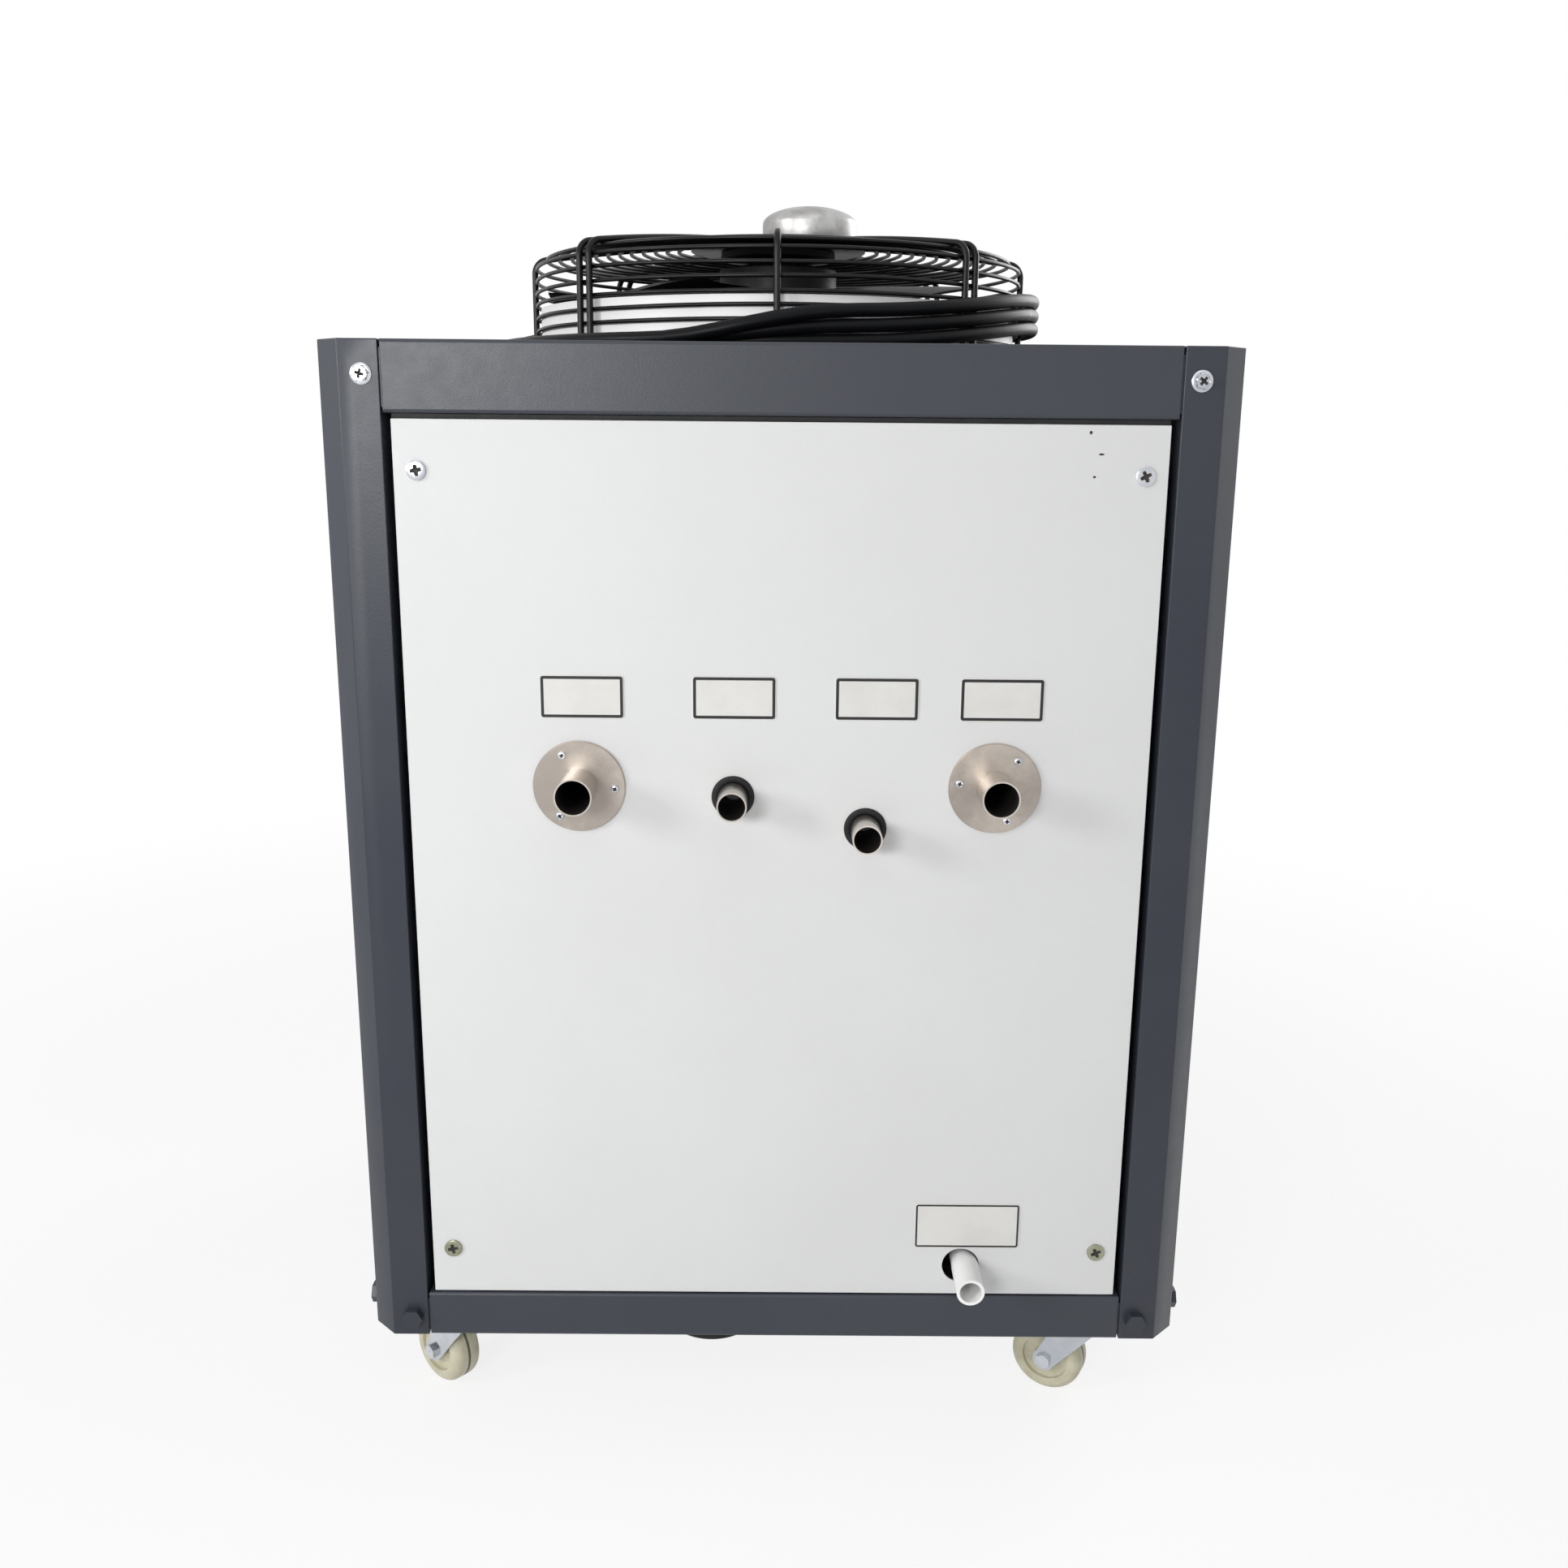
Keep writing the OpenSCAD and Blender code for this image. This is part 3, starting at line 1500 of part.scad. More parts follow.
module main_switch() {
    knob_z = switch_plate_t + turn_gap;
    out = rear_out + panel_face;
    color([0.75, 0.10, 0.08])
        on_control(switch_at, 0) {
            translate([0, 0, -sheet - switch_seat])
                cylinder(r = switch_shaft_r, h = knob_z + sheet + switch_seat);
            translate([0, 0, knob_z])
                cylinder(r = knob_r, h = knob_h);
            translate([-grip_w / 2, -knob_r + grip_w / 2, knob_z + knob_h])
                cube([grip_w, 2 * knob_r - grip_w, out - knob_z - knob_h]);
        }
}

corner_post(-1, -1);  // corner_post_front_left
corner_post(1, -1);  // corner_post_front_right
corner_post(-1, 1);  // corner_post_rear_left
corner_post(1, 1);  // corner_post_rear_right
top_rails_front_rear();
top_rails_side();
bottom_rails_front_rear();
bottom_rails_side();
base_pan();
top_panel();
pipe_panel();
control_panel();
side_panel_left();
side_panel_right();
panel_screws();
post_bolts();
base_bolts();
label_plates();
flange_plates();
flange_screws();
water_outlet_pipe();
water_inlet_pipe();
makeup_pipe();
overflow_pipe();
pipe_grommets();
drain_pipe();
base_bung();
fan_collar();
guard_rings();
guard_ribs();
guard_screws();
fan_motor();
motor_cap();
fan_rotor();
cable_box();
cable_gland();
power_cable_lead();
power_cable_coil();
caster_plates();
caster_fork(caster_left_front);  // caster_fork_front_left
caster_fork(caster_right_front);  // caster_fork_front_right
caster_fork(caster_left_rear);  // caster_fork_rear_left
caster_fork(caster_right_rear);  // caster_fork_rear_right
caster_wheel(caster_left_front);  // caster_wheel_front_left
caster_wheel(caster_right_front);  // caster_wheel_front_right
caster_wheel(caster_left_rear);  // caster_wheel_rear_left
caster_wheel(caster_right_rear);  // caster_wheel_rear_right
caster_axle(caster_left_front);  // caster_axle_front_left
caster_axle(caster_right_front);  // caster_axle_front_right
caster_axle(caster_left_rear);  // caster_axle_rear_left
caster_axle(caster_right_rear);  // caster_axle_rear_right
compressor();
water_tank();
evaporator_coil();
water_pump();
condenser_coils();
refrigerant_lines();
electrical_box();
control_unit();
main_switch();
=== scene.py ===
# %% [markdown]
# # An air-cooled chiller: looks
# The real machine is a powder-coated steel cabinet on casters. Water pipes come out of its front, a fan under a
# wire guard sits on top, and its power cable is wound round the guard for the journey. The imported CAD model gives
# every place and size. This file adds what a camera sees: rounded edges, wires, blades, prints and finishes.

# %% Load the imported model
from functools import partial
import bmesh
import bpy
import numpy as np
from mathutils import Matrix


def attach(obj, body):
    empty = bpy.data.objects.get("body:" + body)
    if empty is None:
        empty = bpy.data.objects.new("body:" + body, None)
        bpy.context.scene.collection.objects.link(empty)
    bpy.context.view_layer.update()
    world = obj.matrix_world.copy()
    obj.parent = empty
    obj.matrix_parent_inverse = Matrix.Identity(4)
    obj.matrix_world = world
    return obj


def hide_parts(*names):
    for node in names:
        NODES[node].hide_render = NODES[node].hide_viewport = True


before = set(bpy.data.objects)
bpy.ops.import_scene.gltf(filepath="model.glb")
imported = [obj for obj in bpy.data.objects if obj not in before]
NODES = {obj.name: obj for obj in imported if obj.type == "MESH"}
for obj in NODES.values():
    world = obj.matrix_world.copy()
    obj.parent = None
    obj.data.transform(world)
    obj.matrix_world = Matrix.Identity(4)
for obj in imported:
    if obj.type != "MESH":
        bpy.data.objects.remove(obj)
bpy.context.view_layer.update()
scene = bpy.context.scene
MM, TOP = 0.001, 1.055
CORNERS = ["front_left", "front_right", "rear_left", "rear_right"]
# In millimetres: the fan's centre, the panels' outer faces, and x and z of the pipes, large ones and small ones
FAN_X = -5.0
PANEL_Y, SIDE_X = 348.0, 398.0
WATER_PIPES = [(-180.7, 667), (196, 668)]
SMALL_PIPES = [(-41.4, 658), (79.4, 629)]

# %% [markdown]
# ## The camera
# The photograph was taken by hand from a little below the top of the cabinet, tilted down. Its place was fitted to
# the corners of the frame, so it is written here as numbers: how far it looks down, right, and how it leans.

# %% Camera
PHOTO_PIXELS, FOCAL_PIXELS = 1932, 1811
SENSOR = 36
CAMERA_AT = (-0.0003, -1.645, 0.9805)


def camera_axes(down, right, lean):
    """Right, up and back directions: a level view turned right, then tilted down, then leaned about its own axis."""
    down, right, lean = np.radians([down, right, lean])
    ahead = np.array([np.sin(right) * np.cos(down), np.cos(right) * np.cos(down), -np.sin(down)])
    side = np.array([np.cos(right), -np.sin(right), 0.0])
    up = np.cross(side, ahead)
    return np.cos(lean) * side + np.sin(lean) * up, np.cos(lean) * up - np.sin(lean) * side, -ahead


def placed(axes, spot):
    """The matrix of an object whose own X, Y and Z point along three axes, at a spot."""
    m = np.eye(4)
    m[:3, :3] = np.stack(axes, 1)
    m[:3, 3] = spot
    return Matrix(m.tolist())


def added(name, data):
    """A new object of this data, linked into the scene."""
    obj = bpy.data.objects.new(name, data)
    scene.collection.objects.link(obj)
    return obj


camera_data = bpy.data.cameras.new("photo_camera")
camera_data.sensor_width = SENSOR
camera_data.lens = SENSOR * FOCAL_PIXELS / PHOTO_PIXELS
camera_data.clip_end = 60
camera = added("photo_camera", camera_data)
camera.matrix_world = placed(camera_axes(down=13.45, right=0.23, lean=0.52), CAMERA_AT)
scene.camera = camera
print("lens", round(camera_data.lens, 2), "mm, placed at", CAMERA_AT)

# %% [markdown]
# ## Surfaces from arrays
# Most new pieces are sheets of points, and two neighbouring rows and columns of them make a quad. A Shell gathers
# such sheets and their end caps and becomes one mesh with its own finishes. Working on whole arrays keeps every
# shape a formula, which is easier to change than modelled vertices.


# %% Shell, the maker of meshes
def turned(p, angle):
    """Points turned about Z, or x and y in their plane, by an angle in radians."""
    x, y, c, s = p[..., 0], p[..., 1], np.cos(angle), np.sin(angle)
    return np.concatenate([np.stack([c * x - s * y, s * x + c * y], -1), p[..., 2:]], -1)


class Shell:
    """Points and faces of one piece, gathered sheet by sheet."""

    def __init__(self):
        self.points, self.faces, self.finish, self.count = [], [], [], 0

    def sheet(self, p, closed=False, finish=0):
        """Quads between neighbours of a rows x columns x 3 array. Its columns go round, and its rows too if it is
        closed, else two caps end it. The finish is one number, or an array of one for each band of rows or each
        quad, and then the caps get 0."""
        p = np.asarray(p, float)
        rows, cols = p.shape[:2]
        at = np.arange(rows * cols).reshape(rows, cols) + self.count
        i, j = np.arange(rows if closed else rows - 1)[:, None], np.arange(cols)[None, :]
        i2, j2 = (i + 1) % rows, (j + 1) % cols
        quads = np.stack([at[i, j], at[i, j2], at[i2, j2], at[i2, j]], -1)
        self.points.append(p.reshape(-1, 3))
        self.count += rows * cols
        self.faces += quads.reshape(-1, 4).tolist()
        self.finish += np.broadcast_to(finish, quads.shape[:2]).astype(int).ravel().tolist()
        if not closed:
            self.faces += [at[0][::-1].tolist(), at[-1].tolist()]
            self.finish += [0 if np.ndim(finish) else finish] * 2
        return self

    def copies(self, turns, places=((0, 0, 0),)):
        """Repeats all that is gathered so far, turned about Z by each angle in degrees, then moved to a place."""
        one, n, k = np.concatenate(self.points), self.count, len(turns)
        many = np.broadcast_to(one, (k,) + one.shape)
        moved = turned(many, np.radians(turns)[:, None]) + np.asarray(places, float)[:, None, :]
        self.points = [moved.reshape(-1, 3)]
        self.faces = [[v + i * n for v in f] for i in range(k) for f in self.faces]
        self.finish, self.count = self.finish * k, n * k
        return self

    def add(self, other):
        """Takes in all that another shell has gathered."""
        self.points.append(np.concatenate(other.points))
        self.faces += [[v + self.count for v in f] for f in other.faces]
        self.finish += other.finish
        self.count += other.count

    def piece(self, name, finishes, stands_for=(), slot=None, sharp=35, body="cabinet"):
        """Makes the mesh, merges seams and poles, and points its faces outwards."""
        mesh = bpy.data.meshes.new(name)
        mesh.from_pydata(np.concatenate(self.points).tolist(), [], self.faces)
        mesh.polygons.foreach_set("material_index", self.finish)
        work = bmesh.new()
        work.from_mesh(mesh)
        bmesh.ops.remove_doubles(work, verts=work.verts, dist=2e-6)
        bmesh.ops.recalc_face_normals(work, faces=work.faces)
        work.to_mesh(mesh)
        work.free()
        return place(name, mesh, finishes, stands_for, sharp, body)


def place(name, mesh, finishes, stands_for=(), sharp=35, body="cabinet"):
    """Puts a mesh on a body as a piece, smooth but for the edges that turn by more than the sharp angle."""
    obj = added(name, mesh)
    for made in finishes:
        mesh.materials.append(made)
    mesh.polygons.foreach_set("use_smooth", np.ones(len(mesh.polygons), bool))
    mesh.set_sharp_from_angle(angle=np.radians(sharp))
    mesh.update()
    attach(obj, body)
    if stands_for:
        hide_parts(*([stands_for] if isinstance(stands_for, str) else stands_for))
    return obj


def circle(n):
    """Cosines and sines of n equal steps round a circle."""
    a = 2 * np.pi * np.arange(n) / n
    return np.cos(a), np.sin(a)


def carried_round(profile, n):
    """Each profile point (radius, height) taken round Z in n steps. A radius may also be an array of n."""
    c, s = circle(n)
    return np.stack([np.stack([r * c, r * s, np.full(n, h)], -1) for r, h in profile])


def spun(profile, n=96, axis="z", at=(0, 0, 0)):
    """A profile in millimetres, carried round an axis and moved to a place in metres."""
    a, b, up = np.moveaxis(carried_round(profile, n), -1, 0)
    order = {"z": [a, b, up], "y": [a, up, b], "x": [up, a, b]}[axis]
    return np.stack(order, -1) * MM + np.asarray(at, float)


def tube(path, radius, sides, hint=(0, 0, 1)):
    """Along a path, a circle stands across its direction; hint is a vector that the path never follows."""
    path = np.asarray(path, float)
    t = np.gradient(path, axis=0)
    t /= np.linalg.norm(t, axis=1, keepdims=True)
    a = np.cross(t, hint)
    a /= np.linalg.norm(a, axis=1, keepdims=True)
    b = np.cross(a, t)
    c, s = circle(sides)
    radius = np.broadcast_to(radius, len(path))[:, None, None]
    return path[:, None, :] + radius * (c[None, :, None] * a[:, None, :] + s[None, :, None] * b[:, None, :])


def rise(t):
    """A smooth step from 0 to 1: u times u times (3 - 2u), with u held between 0 and 1."""
    u = np.clip(t, 0, 1)
    return u * u * (3 - 2 * u)


def arc(cx, cy, r, a0, a1, n=6):
    """Points of a circle's arc between two angles in degrees, as a list for a profile."""
    a = np.radians(np.linspace(a0, a1, n))
    return [(cx + r * np.cos(v), cy + r * np.sin(v)) for v in a]


# %% [markdown]
# ## Shader sums as Python sums
# A finish is a network of nodes. Drawing it by hand takes long, so one small class wraps a socket and lets it be
# added, multiplied and compared as a number is. Colours go through Mix nodes, because Math nodes lose their hue.


# %% Wire and Finish
class Wire:
    """A node's output that takes part in Python sums, each of which adds a Math node."""

    def __init__(self, finish, socket):
        self.finish, self.socket = finish, socket

    def _math(self, operation, a, b):
        return self.finish.node("Math", {0: a, 1: b}, operation=operation)

    def __add__(self, o): return self._math("ADD", self, o)
    def __radd__(self, o): return self._math("ADD", o, self)
    def __sub__(self, o): return self._math("SUBTRACT", self, o)
    def __rsub__(self, o): return self._math("SUBTRACT", o, self)
    def __mul__(self, o): return self._math("MULTIPLY", self, o)
    def __rmul__(self, o): return self._math("MULTIPLY", o, self)
    def __truediv__(self, o): return self._math("DIVIDE", self, o)
    def __pow__(self, o): return self._math("POWER", self, o)
    def __gt__(self, o): return self._math("GREATER_THAN", self, o)
    def __lt__(self, o): return self._math("LESS_THAN", self, o)


def linear(r, g, b):
    """A colour of 0 to 255 as a picture shows it, turned into the linear light that nodes work with."""
    v = np.array([r, g, b]) / 255
    return (*np.where(v <= 0.04045, v / 12.92, ((v + 0.055) / 1.055) ** 2.4).tolist(), 1.0)


class Finish:
    """One material, its Principled shader, and a way to add any other node."""

    def __init__(self, name, **fixed):
        self.material = bpy.data.materials.new(name)
        self.material.use_nodes = True
        self.tree = self.material.node_tree
        self.shader = self.tree.nodes["Principled BSDF"]
        self.feed(**fixed)
        self.place = self.node("TexCoord", out="Object")

    def fill(self, node, inputs):
        """Links wires to a node's sockets and writes all other values into them."""
        for key, value in inputs.items():
            if isinstance(value, Wire):
                self.tree.links.new(value.socket, node.inputs[key])
            else:
                node.inputs[key].default_value = value

    def node(self, kind, inputs=None, out=0, **settings):
        """Adds a node of a kind, sets its settings, then its sockets, and gives back one output."""
        made = self.tree.nodes.new("ShaderNode" + kind)
        for key, value in settings.items():
            setattr(made, key, value)
        self.fill(made, inputs or {})
        return Wire(self, made.outputs[out])

    def feed(self, **inputs):
        """Fills the shader's sockets, whose names are written small and with underscores, as in base_color."""
        self.fill(self.shader, {key.replace("_", " ").title().replace("Ior", "IOR"): inputs[key] for key in inputs})
        return self.material

    def noise(self, scale, detail=3, rough=0.5, stretch=None):
        """Cloudy noise of so many features a metre, as a number around a half."""
        where = self.node("Mapping", {"Vector": self.place, "Scale": stretch}) if stretch else self.place
        return self.node("TexNoise", {"Vector": where, "Scale": scale, "Detail": detail, "Roughness": rough})

    def mix(self, share, a, b):
        """A colour between a and b: wires, or colours as a picture shows them, with parts of 0 to 255."""
        a, b = (linear(*c) if isinstance(c, tuple) else c for c in (a, b))
        return self.node("Mix", {0: share, 6: a, 7: b}, out=2, data_type="RGBA")

    def band(self, x, low, high):
        """0 below low, 1 above high, smooth between."""
        return self.node("MapRange", {0: x, 1: low, 2: high}, interpolation_type="SMOOTHSTEP")

    def axis(self, letter):
        """One coordinate of the place on the object, in metres."""
        return self.node("SeparateXYZ", {0: self.place}, out="xyz".index(letter))

    def ellipse(self, x, z, half_x, half_z):
        """1 inside an ellipse about x and z, seen from the front and given in millimetres, 0 outside."""
        across, up = (self.axis("x") * 1000 - x) / half_x, (self.axis("z") * 1000 - z) / half_z
        return across * across + up * up < 1

    def bump(self, height, distance):
        """A Bump node: height is a number from 0 to 1, distance how many metres that is."""
        return self.node("Bump", {"Height": height, "Distance": distance})


# %% [markdown]
# ## The finishes
# Powder coat melts into a skin with a faint orange peel. Zinc and nickel are thin bright coats that cloud and
# stain. Moulded plastics are even but scuffed, rubber is matt and gathers dust. Each finish below is one function
# of its colours, with noise at the real size of these marks, so it holds from near and far.


# %% Painted finishes
def powder_coat(name, colour, dust, rough=0.36, peel=0.6, tint=0.5, painted_top_light=None, gloss=0.45, marks=()):
    """Coat colour with cloudy unevenness, dust low down, an orange peel of about 1.5 mm and small scuffs. The
    painted top light is the lighter colour that the top goes to, painted light for the light that falls there. Marks
    are dark specks: x, z and half sizes of an ellipse in millimetres."""
    f = Finish(name, specular_ior_level=gloss)
    cloud = f.noise(3.5, 4, 0.6)
    fine = f.noise(60, 3, 0.6)
    body = f.mix(f.band(cloud, 0.30, 0.75) * tint, colour, dust)
    # Painted light: the top of the coat is mixed towards a lighter colour
    if painted_top_light:
        body = f.mix(f.band(f.axis("z"), 0.75, 1.06) * 0.8, body, painted_top_light)
    scuff = f.noise(240, 6, 0.75, stretch=(1, 1, 0.25)) > 0.70
    low = 1 - f.band(f.axis("z"), 0.10, 0.32)
    body = f.mix(scuff * (0.06 + 0.25 * low), body, dust)
    for mark in marks:
        body = f.mix(f.ellipse(*mark), body, (62, 58, 46))
    peel_height = f.noise(650, 2, 0.5)
    return f.feed(
        base_color=body,
        roughness=rough + 0.10 * (fine - 0.5) + 0.14 * scuff,
        normal=f.bump(peel_height + 0.25 * cloud, peel * 0.00012))


# Painted light: both frame coats turn lighter towards the top
slate_coat = powder_coat("slate_powder_coat", (47, 51, 61), (60, 63, 69), gloss=0.35, painted_top_light=(54, 58, 66))
# Painted light: the rails take a lighter copy of the frame's slate coat, for the light they catch
lit_rail_coat = powder_coat("slate_rail_coat", (54, 58, 67), (66, 69, 75), gloss=0.35, painted_top_light=(60, 63, 70))
PANEL_WHITE = {"colour": (216, 217, 217), "dust": (208, 208, 207), "rough": 0.5, "tint": 0.35, "gloss": 0.15}
PANEL_SPECKS = [(265.9, 982.7, 1.3, 1.5), (276.0, 964.5, 2.4, 0.9), (270.9, 945.3, 1.3, 1.0)]
white_coat = powder_coat("white_powder_coat", **PANEL_WHITE)
pipe_panel_coat = powder_coat("white_pipe_panel_coat", **PANEL_WHITE, marks=PANEL_SPECKS)
collar_coat = powder_coat("white_collar_paint", (244, 244, 244), (226, 226, 228), rough=0.4)
wire_coat = powder_coat("black_wire_coat", (9, 9, 11), (20, 20, 23), peel=0.3, gloss=0.25)
motor_coat = powder_coat("motor_paint", (32, 32, 34), (50, 49, 48), rough=0.5, gloss=0.3)
pump_coat = powder_coat("pump_enamel", (70, 92, 116), (96, 104, 112), rough=0.38)
print("painted finishes", 8)


# %% Metal finishes
METAL = 0.95


def plated(name, light, dark, rough=0.3, cloud_scale=14, stain=None, shaded_bores=()):
    """Bright plate: clouds between two tones, a fine grain, and stains gathered where noise is high.
    Shaded bores are x, z and radius in millimetres of pipes along Y, whose insides get painted shade: dark and dull."""
    f = Finish(name, metallic=METAL)
    cloud = f.noise(cloud_scale, 5, 0.65)
    body = f.mix(f.band(cloud, 0.34, 0.66), light, dark)
    spots = f.band(f.noise(cloud_scale * 7, 4, 0.7), 0.62, 0.74)
    if stain:
        body = f.mix(spots * 0.7, body, stain)
    grain = f.noise(420, 3, 0.6)
    inside = 0
    for x, z, r in shaded_bores:
        inside = inside + f.ellipse(x, z, r, r)
    # Painted shade: inside the bores the plate turns dark, dull and not metallic
    if shaded_bores:
        body = f.mix(inside, body, (30, 26, 24))
        f.feed(metallic=METAL - METAL * inside)
    return f.feed(
        base_color=body,
        roughness=rough + 0.16 * (grain - 0.5) + 0.2 * spots + 0.4 * inside,
        normal=f.bump(grain, 0.00004))


SHADED_PIPE_BORES = [(x, z, 15.5) for x, z in WATER_PIPES] + [(x, z, 12.1) for x, z in SMALL_PIPES]
zinc = plated("bright_zinc", (214, 216, 220), (176, 180, 188), rough=0.26, stain=(150, 148, 140))
olive_zinc = plated("yellowed_zinc", (176, 178, 160), (140, 142, 118), rough=0.34, stain=(112, 108, 84))
flange_nickel = plated("satin_nickel_plate", (190, 181, 172), (158, 150, 143), 0.36, 11, stain=(142, 132, 124))
nickel = plated("satin_nickel_pipe", (214, 207, 198), (192, 185, 176), 0.2, 9, stain=(166, 157, 148), shaded_bores=SHADED_PIPE_BORES)
chrome = plated("bright_fork_plate", (206, 209, 214), (184, 188, 194), rough=0.14, cloud_scale=8)
aluminium = plated("cast_aluminium", (190, 190, 190), (158, 156, 154), rough=0.42, cloud_scale=30)
copper = plated("drawn_copper", (196, 124, 84), (150, 88, 60), rough=0.28, stain=(92, 66, 54))

# Zinc crystals of 10 to 20 mm are Voronoi cells, each with its own grey and shine
f = Finish("galvanised_spangle", metallic=0.85)
cells = f.node("TexVoronoi", {"Vector": f.place, "Scale": 85.0}, out="Color")
tone = f.node("SeparateColor", {0: cells})
galvanised = f.feed(base_color=f.mix(tone, (150, 152, 155), (190, 192, 195)), roughness=0.34 + 0.2 * tone,
                    normal=f.bump(f.noise(300), 0.00003))

# Thin upright fins 2.1 mm apart on tubes 26.2 mm apart: waves along y and z paint shade into the gaps between fins and
# show the tubes
f = Finish("condenser_fins", metallic=0.8)
wave, tubes = (
    f.node("TexWave", {"Vector": f.place, "Scale": 3.1416 / gap / 20}, wave_profile="SIN", bands_direction=way)
    for way, gap in (("Y", 0.0021), ("Z", 0.0262)))
body = f.mix(f.band(wave, 0.25, 0.7), (52, 54, 58), (178, 181, 186))
body = f.mix(f.band(tubes, 0.86, 0.98) * 0.35, body, (140, 96, 72))
fins = f.feed(base_color=body, roughness=0.4 + 0.1 * f.noise(40), normal=f.bump(wave, 0.0006))
print("metal finishes", 9)


# %% Plastics, rubber and glass
def moulded(name, colour, second, rough=0.4, scale=20, grain=900, depth=0.00004, gloss=0.5, **fixed):
    """Even plastic or rubber: slow change between two tones, fine grain, and patches rubbed smoother."""
    f = Finish(name, specular_ior_level=gloss, **fixed)
    cloud = f.noise(scale, 4, 0.6)
    rub = f.band(f.noise(scale * 4, 3, 0.6), 0.5, 0.8)
    return f.feed(
        base_color=f.mix(f.band(cloud, 0.35, 0.7), colour, second),
        roughness=rough + 0.12 * (cloud - 0.5) - 0.08 * rub,
        normal=f.bump(f.noise(grain, 2), depth))


rubber = moulded("black_rubber", (16, 16, 18), (30, 30, 32), rough=0.6, scale=35, gloss=0.3)
jacket = moulded("cable_jacket", (8, 9, 11), (14, 15, 19), rough=0.42, scale=9, grain=500, gloss=0.14)
black_plastic = moulded("black_plastic", (24, 24, 27), (34, 34, 37), rough=0.5, gloss=0.35)
blade_plastic = moulded("blade_plastic", (13, 13, 15), (24, 24, 26), rough=0.46, scale=12, gloss=0.3)
# Painted shade: a dark finish for the cross recesses of screw heads, where shade falls
recess_painted_shade = moulded("recess_painted_shade", (26, 26, 28), (58, 56, 52), rough=0.7, scale=90)
drain_plastic = moulded("white_pipe_plastic", (246, 246, 245), (236, 236, 235), rough=0.34, scale=18)
nylon = moulded("cream_nylon", (202, 198, 174), (182, 177, 152), rough=0.38, scale=45, subsurface_weight=0.06)
# Painted shade for the wheel seam's groove: a darker copy of the nylon colour
seam_shade = moulded("wheel_seam_painted_shade", (96, 94, 80), (120, 117, 98), rough=0.6, scale=60)
red_plastic = moulded("red_plastic", (186, 28, 24), (168, 22, 20), rough=0.3)
film = moulded("label_film", (218, 217, 214), (212, 211, 208), scale=25, gloss=0.2)
border = moulded("label_border_print", (8, 8, 9), (16, 16, 17), scale=50)
print("plastics and prints", 11)

# %% [markdown]
# ## The power cable
# A chiller this size is delivered with its heavy rubber cable wired in. It leaves a gland on the top panel, runs
# round behind the fan and goes 2.75 times round the foot of the guard. At the front left the turns lie side by side
# on the sheet, at the front right they are stacked and lifted over the outlet box. A curve object would do too, but
# a tube worked out along the route gives its length and its end as well.

# %% Cable route and tube
CABLE_D = 0.0125
COIL_TURNS, COIL_START, COIL_R, LAYER = 2.75, 120, 269.4, 13.4
CABLE_Z = 6.3
LEAD = np.array([
    [285, 172, 12], [285, 188, 12], [284, 206, 11], [280, 224, 9.5], [273, 240, 8], [262, 256, 7],
    [249, 270, 6.5], [233, 281, 6.3], [215, 290, 6.3], [195, 297, 6.3], [165, 303, 6.3], [130, 308, 6.3],
    [95, 310, 6.3], [60, 309, 6.3], [20, 304, 6.3], [-20, 294, 6.3], [-60, 279, 6.3], [-95, 262, 6.3],
]) * MM + [0, 0, TOP]


def away(a, b):
    """The angle between two headings, from 0 to 180 degrees."""
    return np.abs((a - b + 540) % 360 - 180)


def coil_points(k):
    """After k turns: the layer climbs one step late in each turn, the stack of layers tilts from flat to upright
    away from 216 degrees, and all is lifted near 20 degrees."""
    k = np.asarray(k, float)
    a = COIL_START + 360 * k
    m = LAYER * (np.floor(k) + rise((k - np.floor(k) - 0.80) / 0.15))
    tilt = np.radians(90 * rise((away(a % 360, 216) - 31) / 48))
    lift = 25 * rise((98 - away(a % 360, 20)) / 68)
    r = COIL_R + m * np.cos(tilt)
    a = np.radians(a)
    return np.stack([FAN_X + r * np.cos(a), r * np.sin(a), CABLE_Z + m * np.sin(tilt) + lift], 1) * MM + [0, 0, TOP]


def heading(k):
    """Direction of travel at k turns, level and across the radius."""
    a = np.radians(COIL_START + 360 * k)
    return np.array([-np.sin(a), np.cos(a), 0.0])


def through(points, steps):
    """A smooth curve through points: between two of them, a cubic whose slopes come from their neighbours."""
    p = np.concatenate([[2 * points[0] - points[1]], points, [2 * points[-1] - points[-2]]])
    t = (np.arange(steps) / steps)[None, :, None]
    a, b, c, d = (p[i:len(p) - 3 + i, None, :] for i in range(4))
    curve = 0.5 * (2 * b + (c - a) * t + (2 * a - 5 * b + 4 * c - d) * t ** 2 + (3 * b - a - 3 * c + d) * t ** 3)
    return np.concatenate([curve.reshape(-1, 3), points[-1:]])


start = coil_points([0.0])[0] - CABLE_D * heading(0)
lead_part = through(np.concatenate([LEAD, [start]]), 4)[:-1]
coil_part = np.concatenate([[start], coil_points(np.linspace(0, COIL_TURNS, 199)),
                            [coil_points([COIL_TURNS])[0] + CABLE_D * heading(COIL_TURNS)]])
route = np.concatenate([lead_part, coil_part])
cable = Shell().sheet(tube(route, CABLE_D / 2, 16)).piece(
    "power_cable", [jacket], ("power_cable_lead", "power_cable_coil"), "cable_jacket", sharp=60)

# %% [markdown]
# The free end has its jacket stripped back. Four cores fan out a little and carry crimped ferrules, ready for the
# electrician. They are four thin tubes that start inside the jacket and twist as they part.

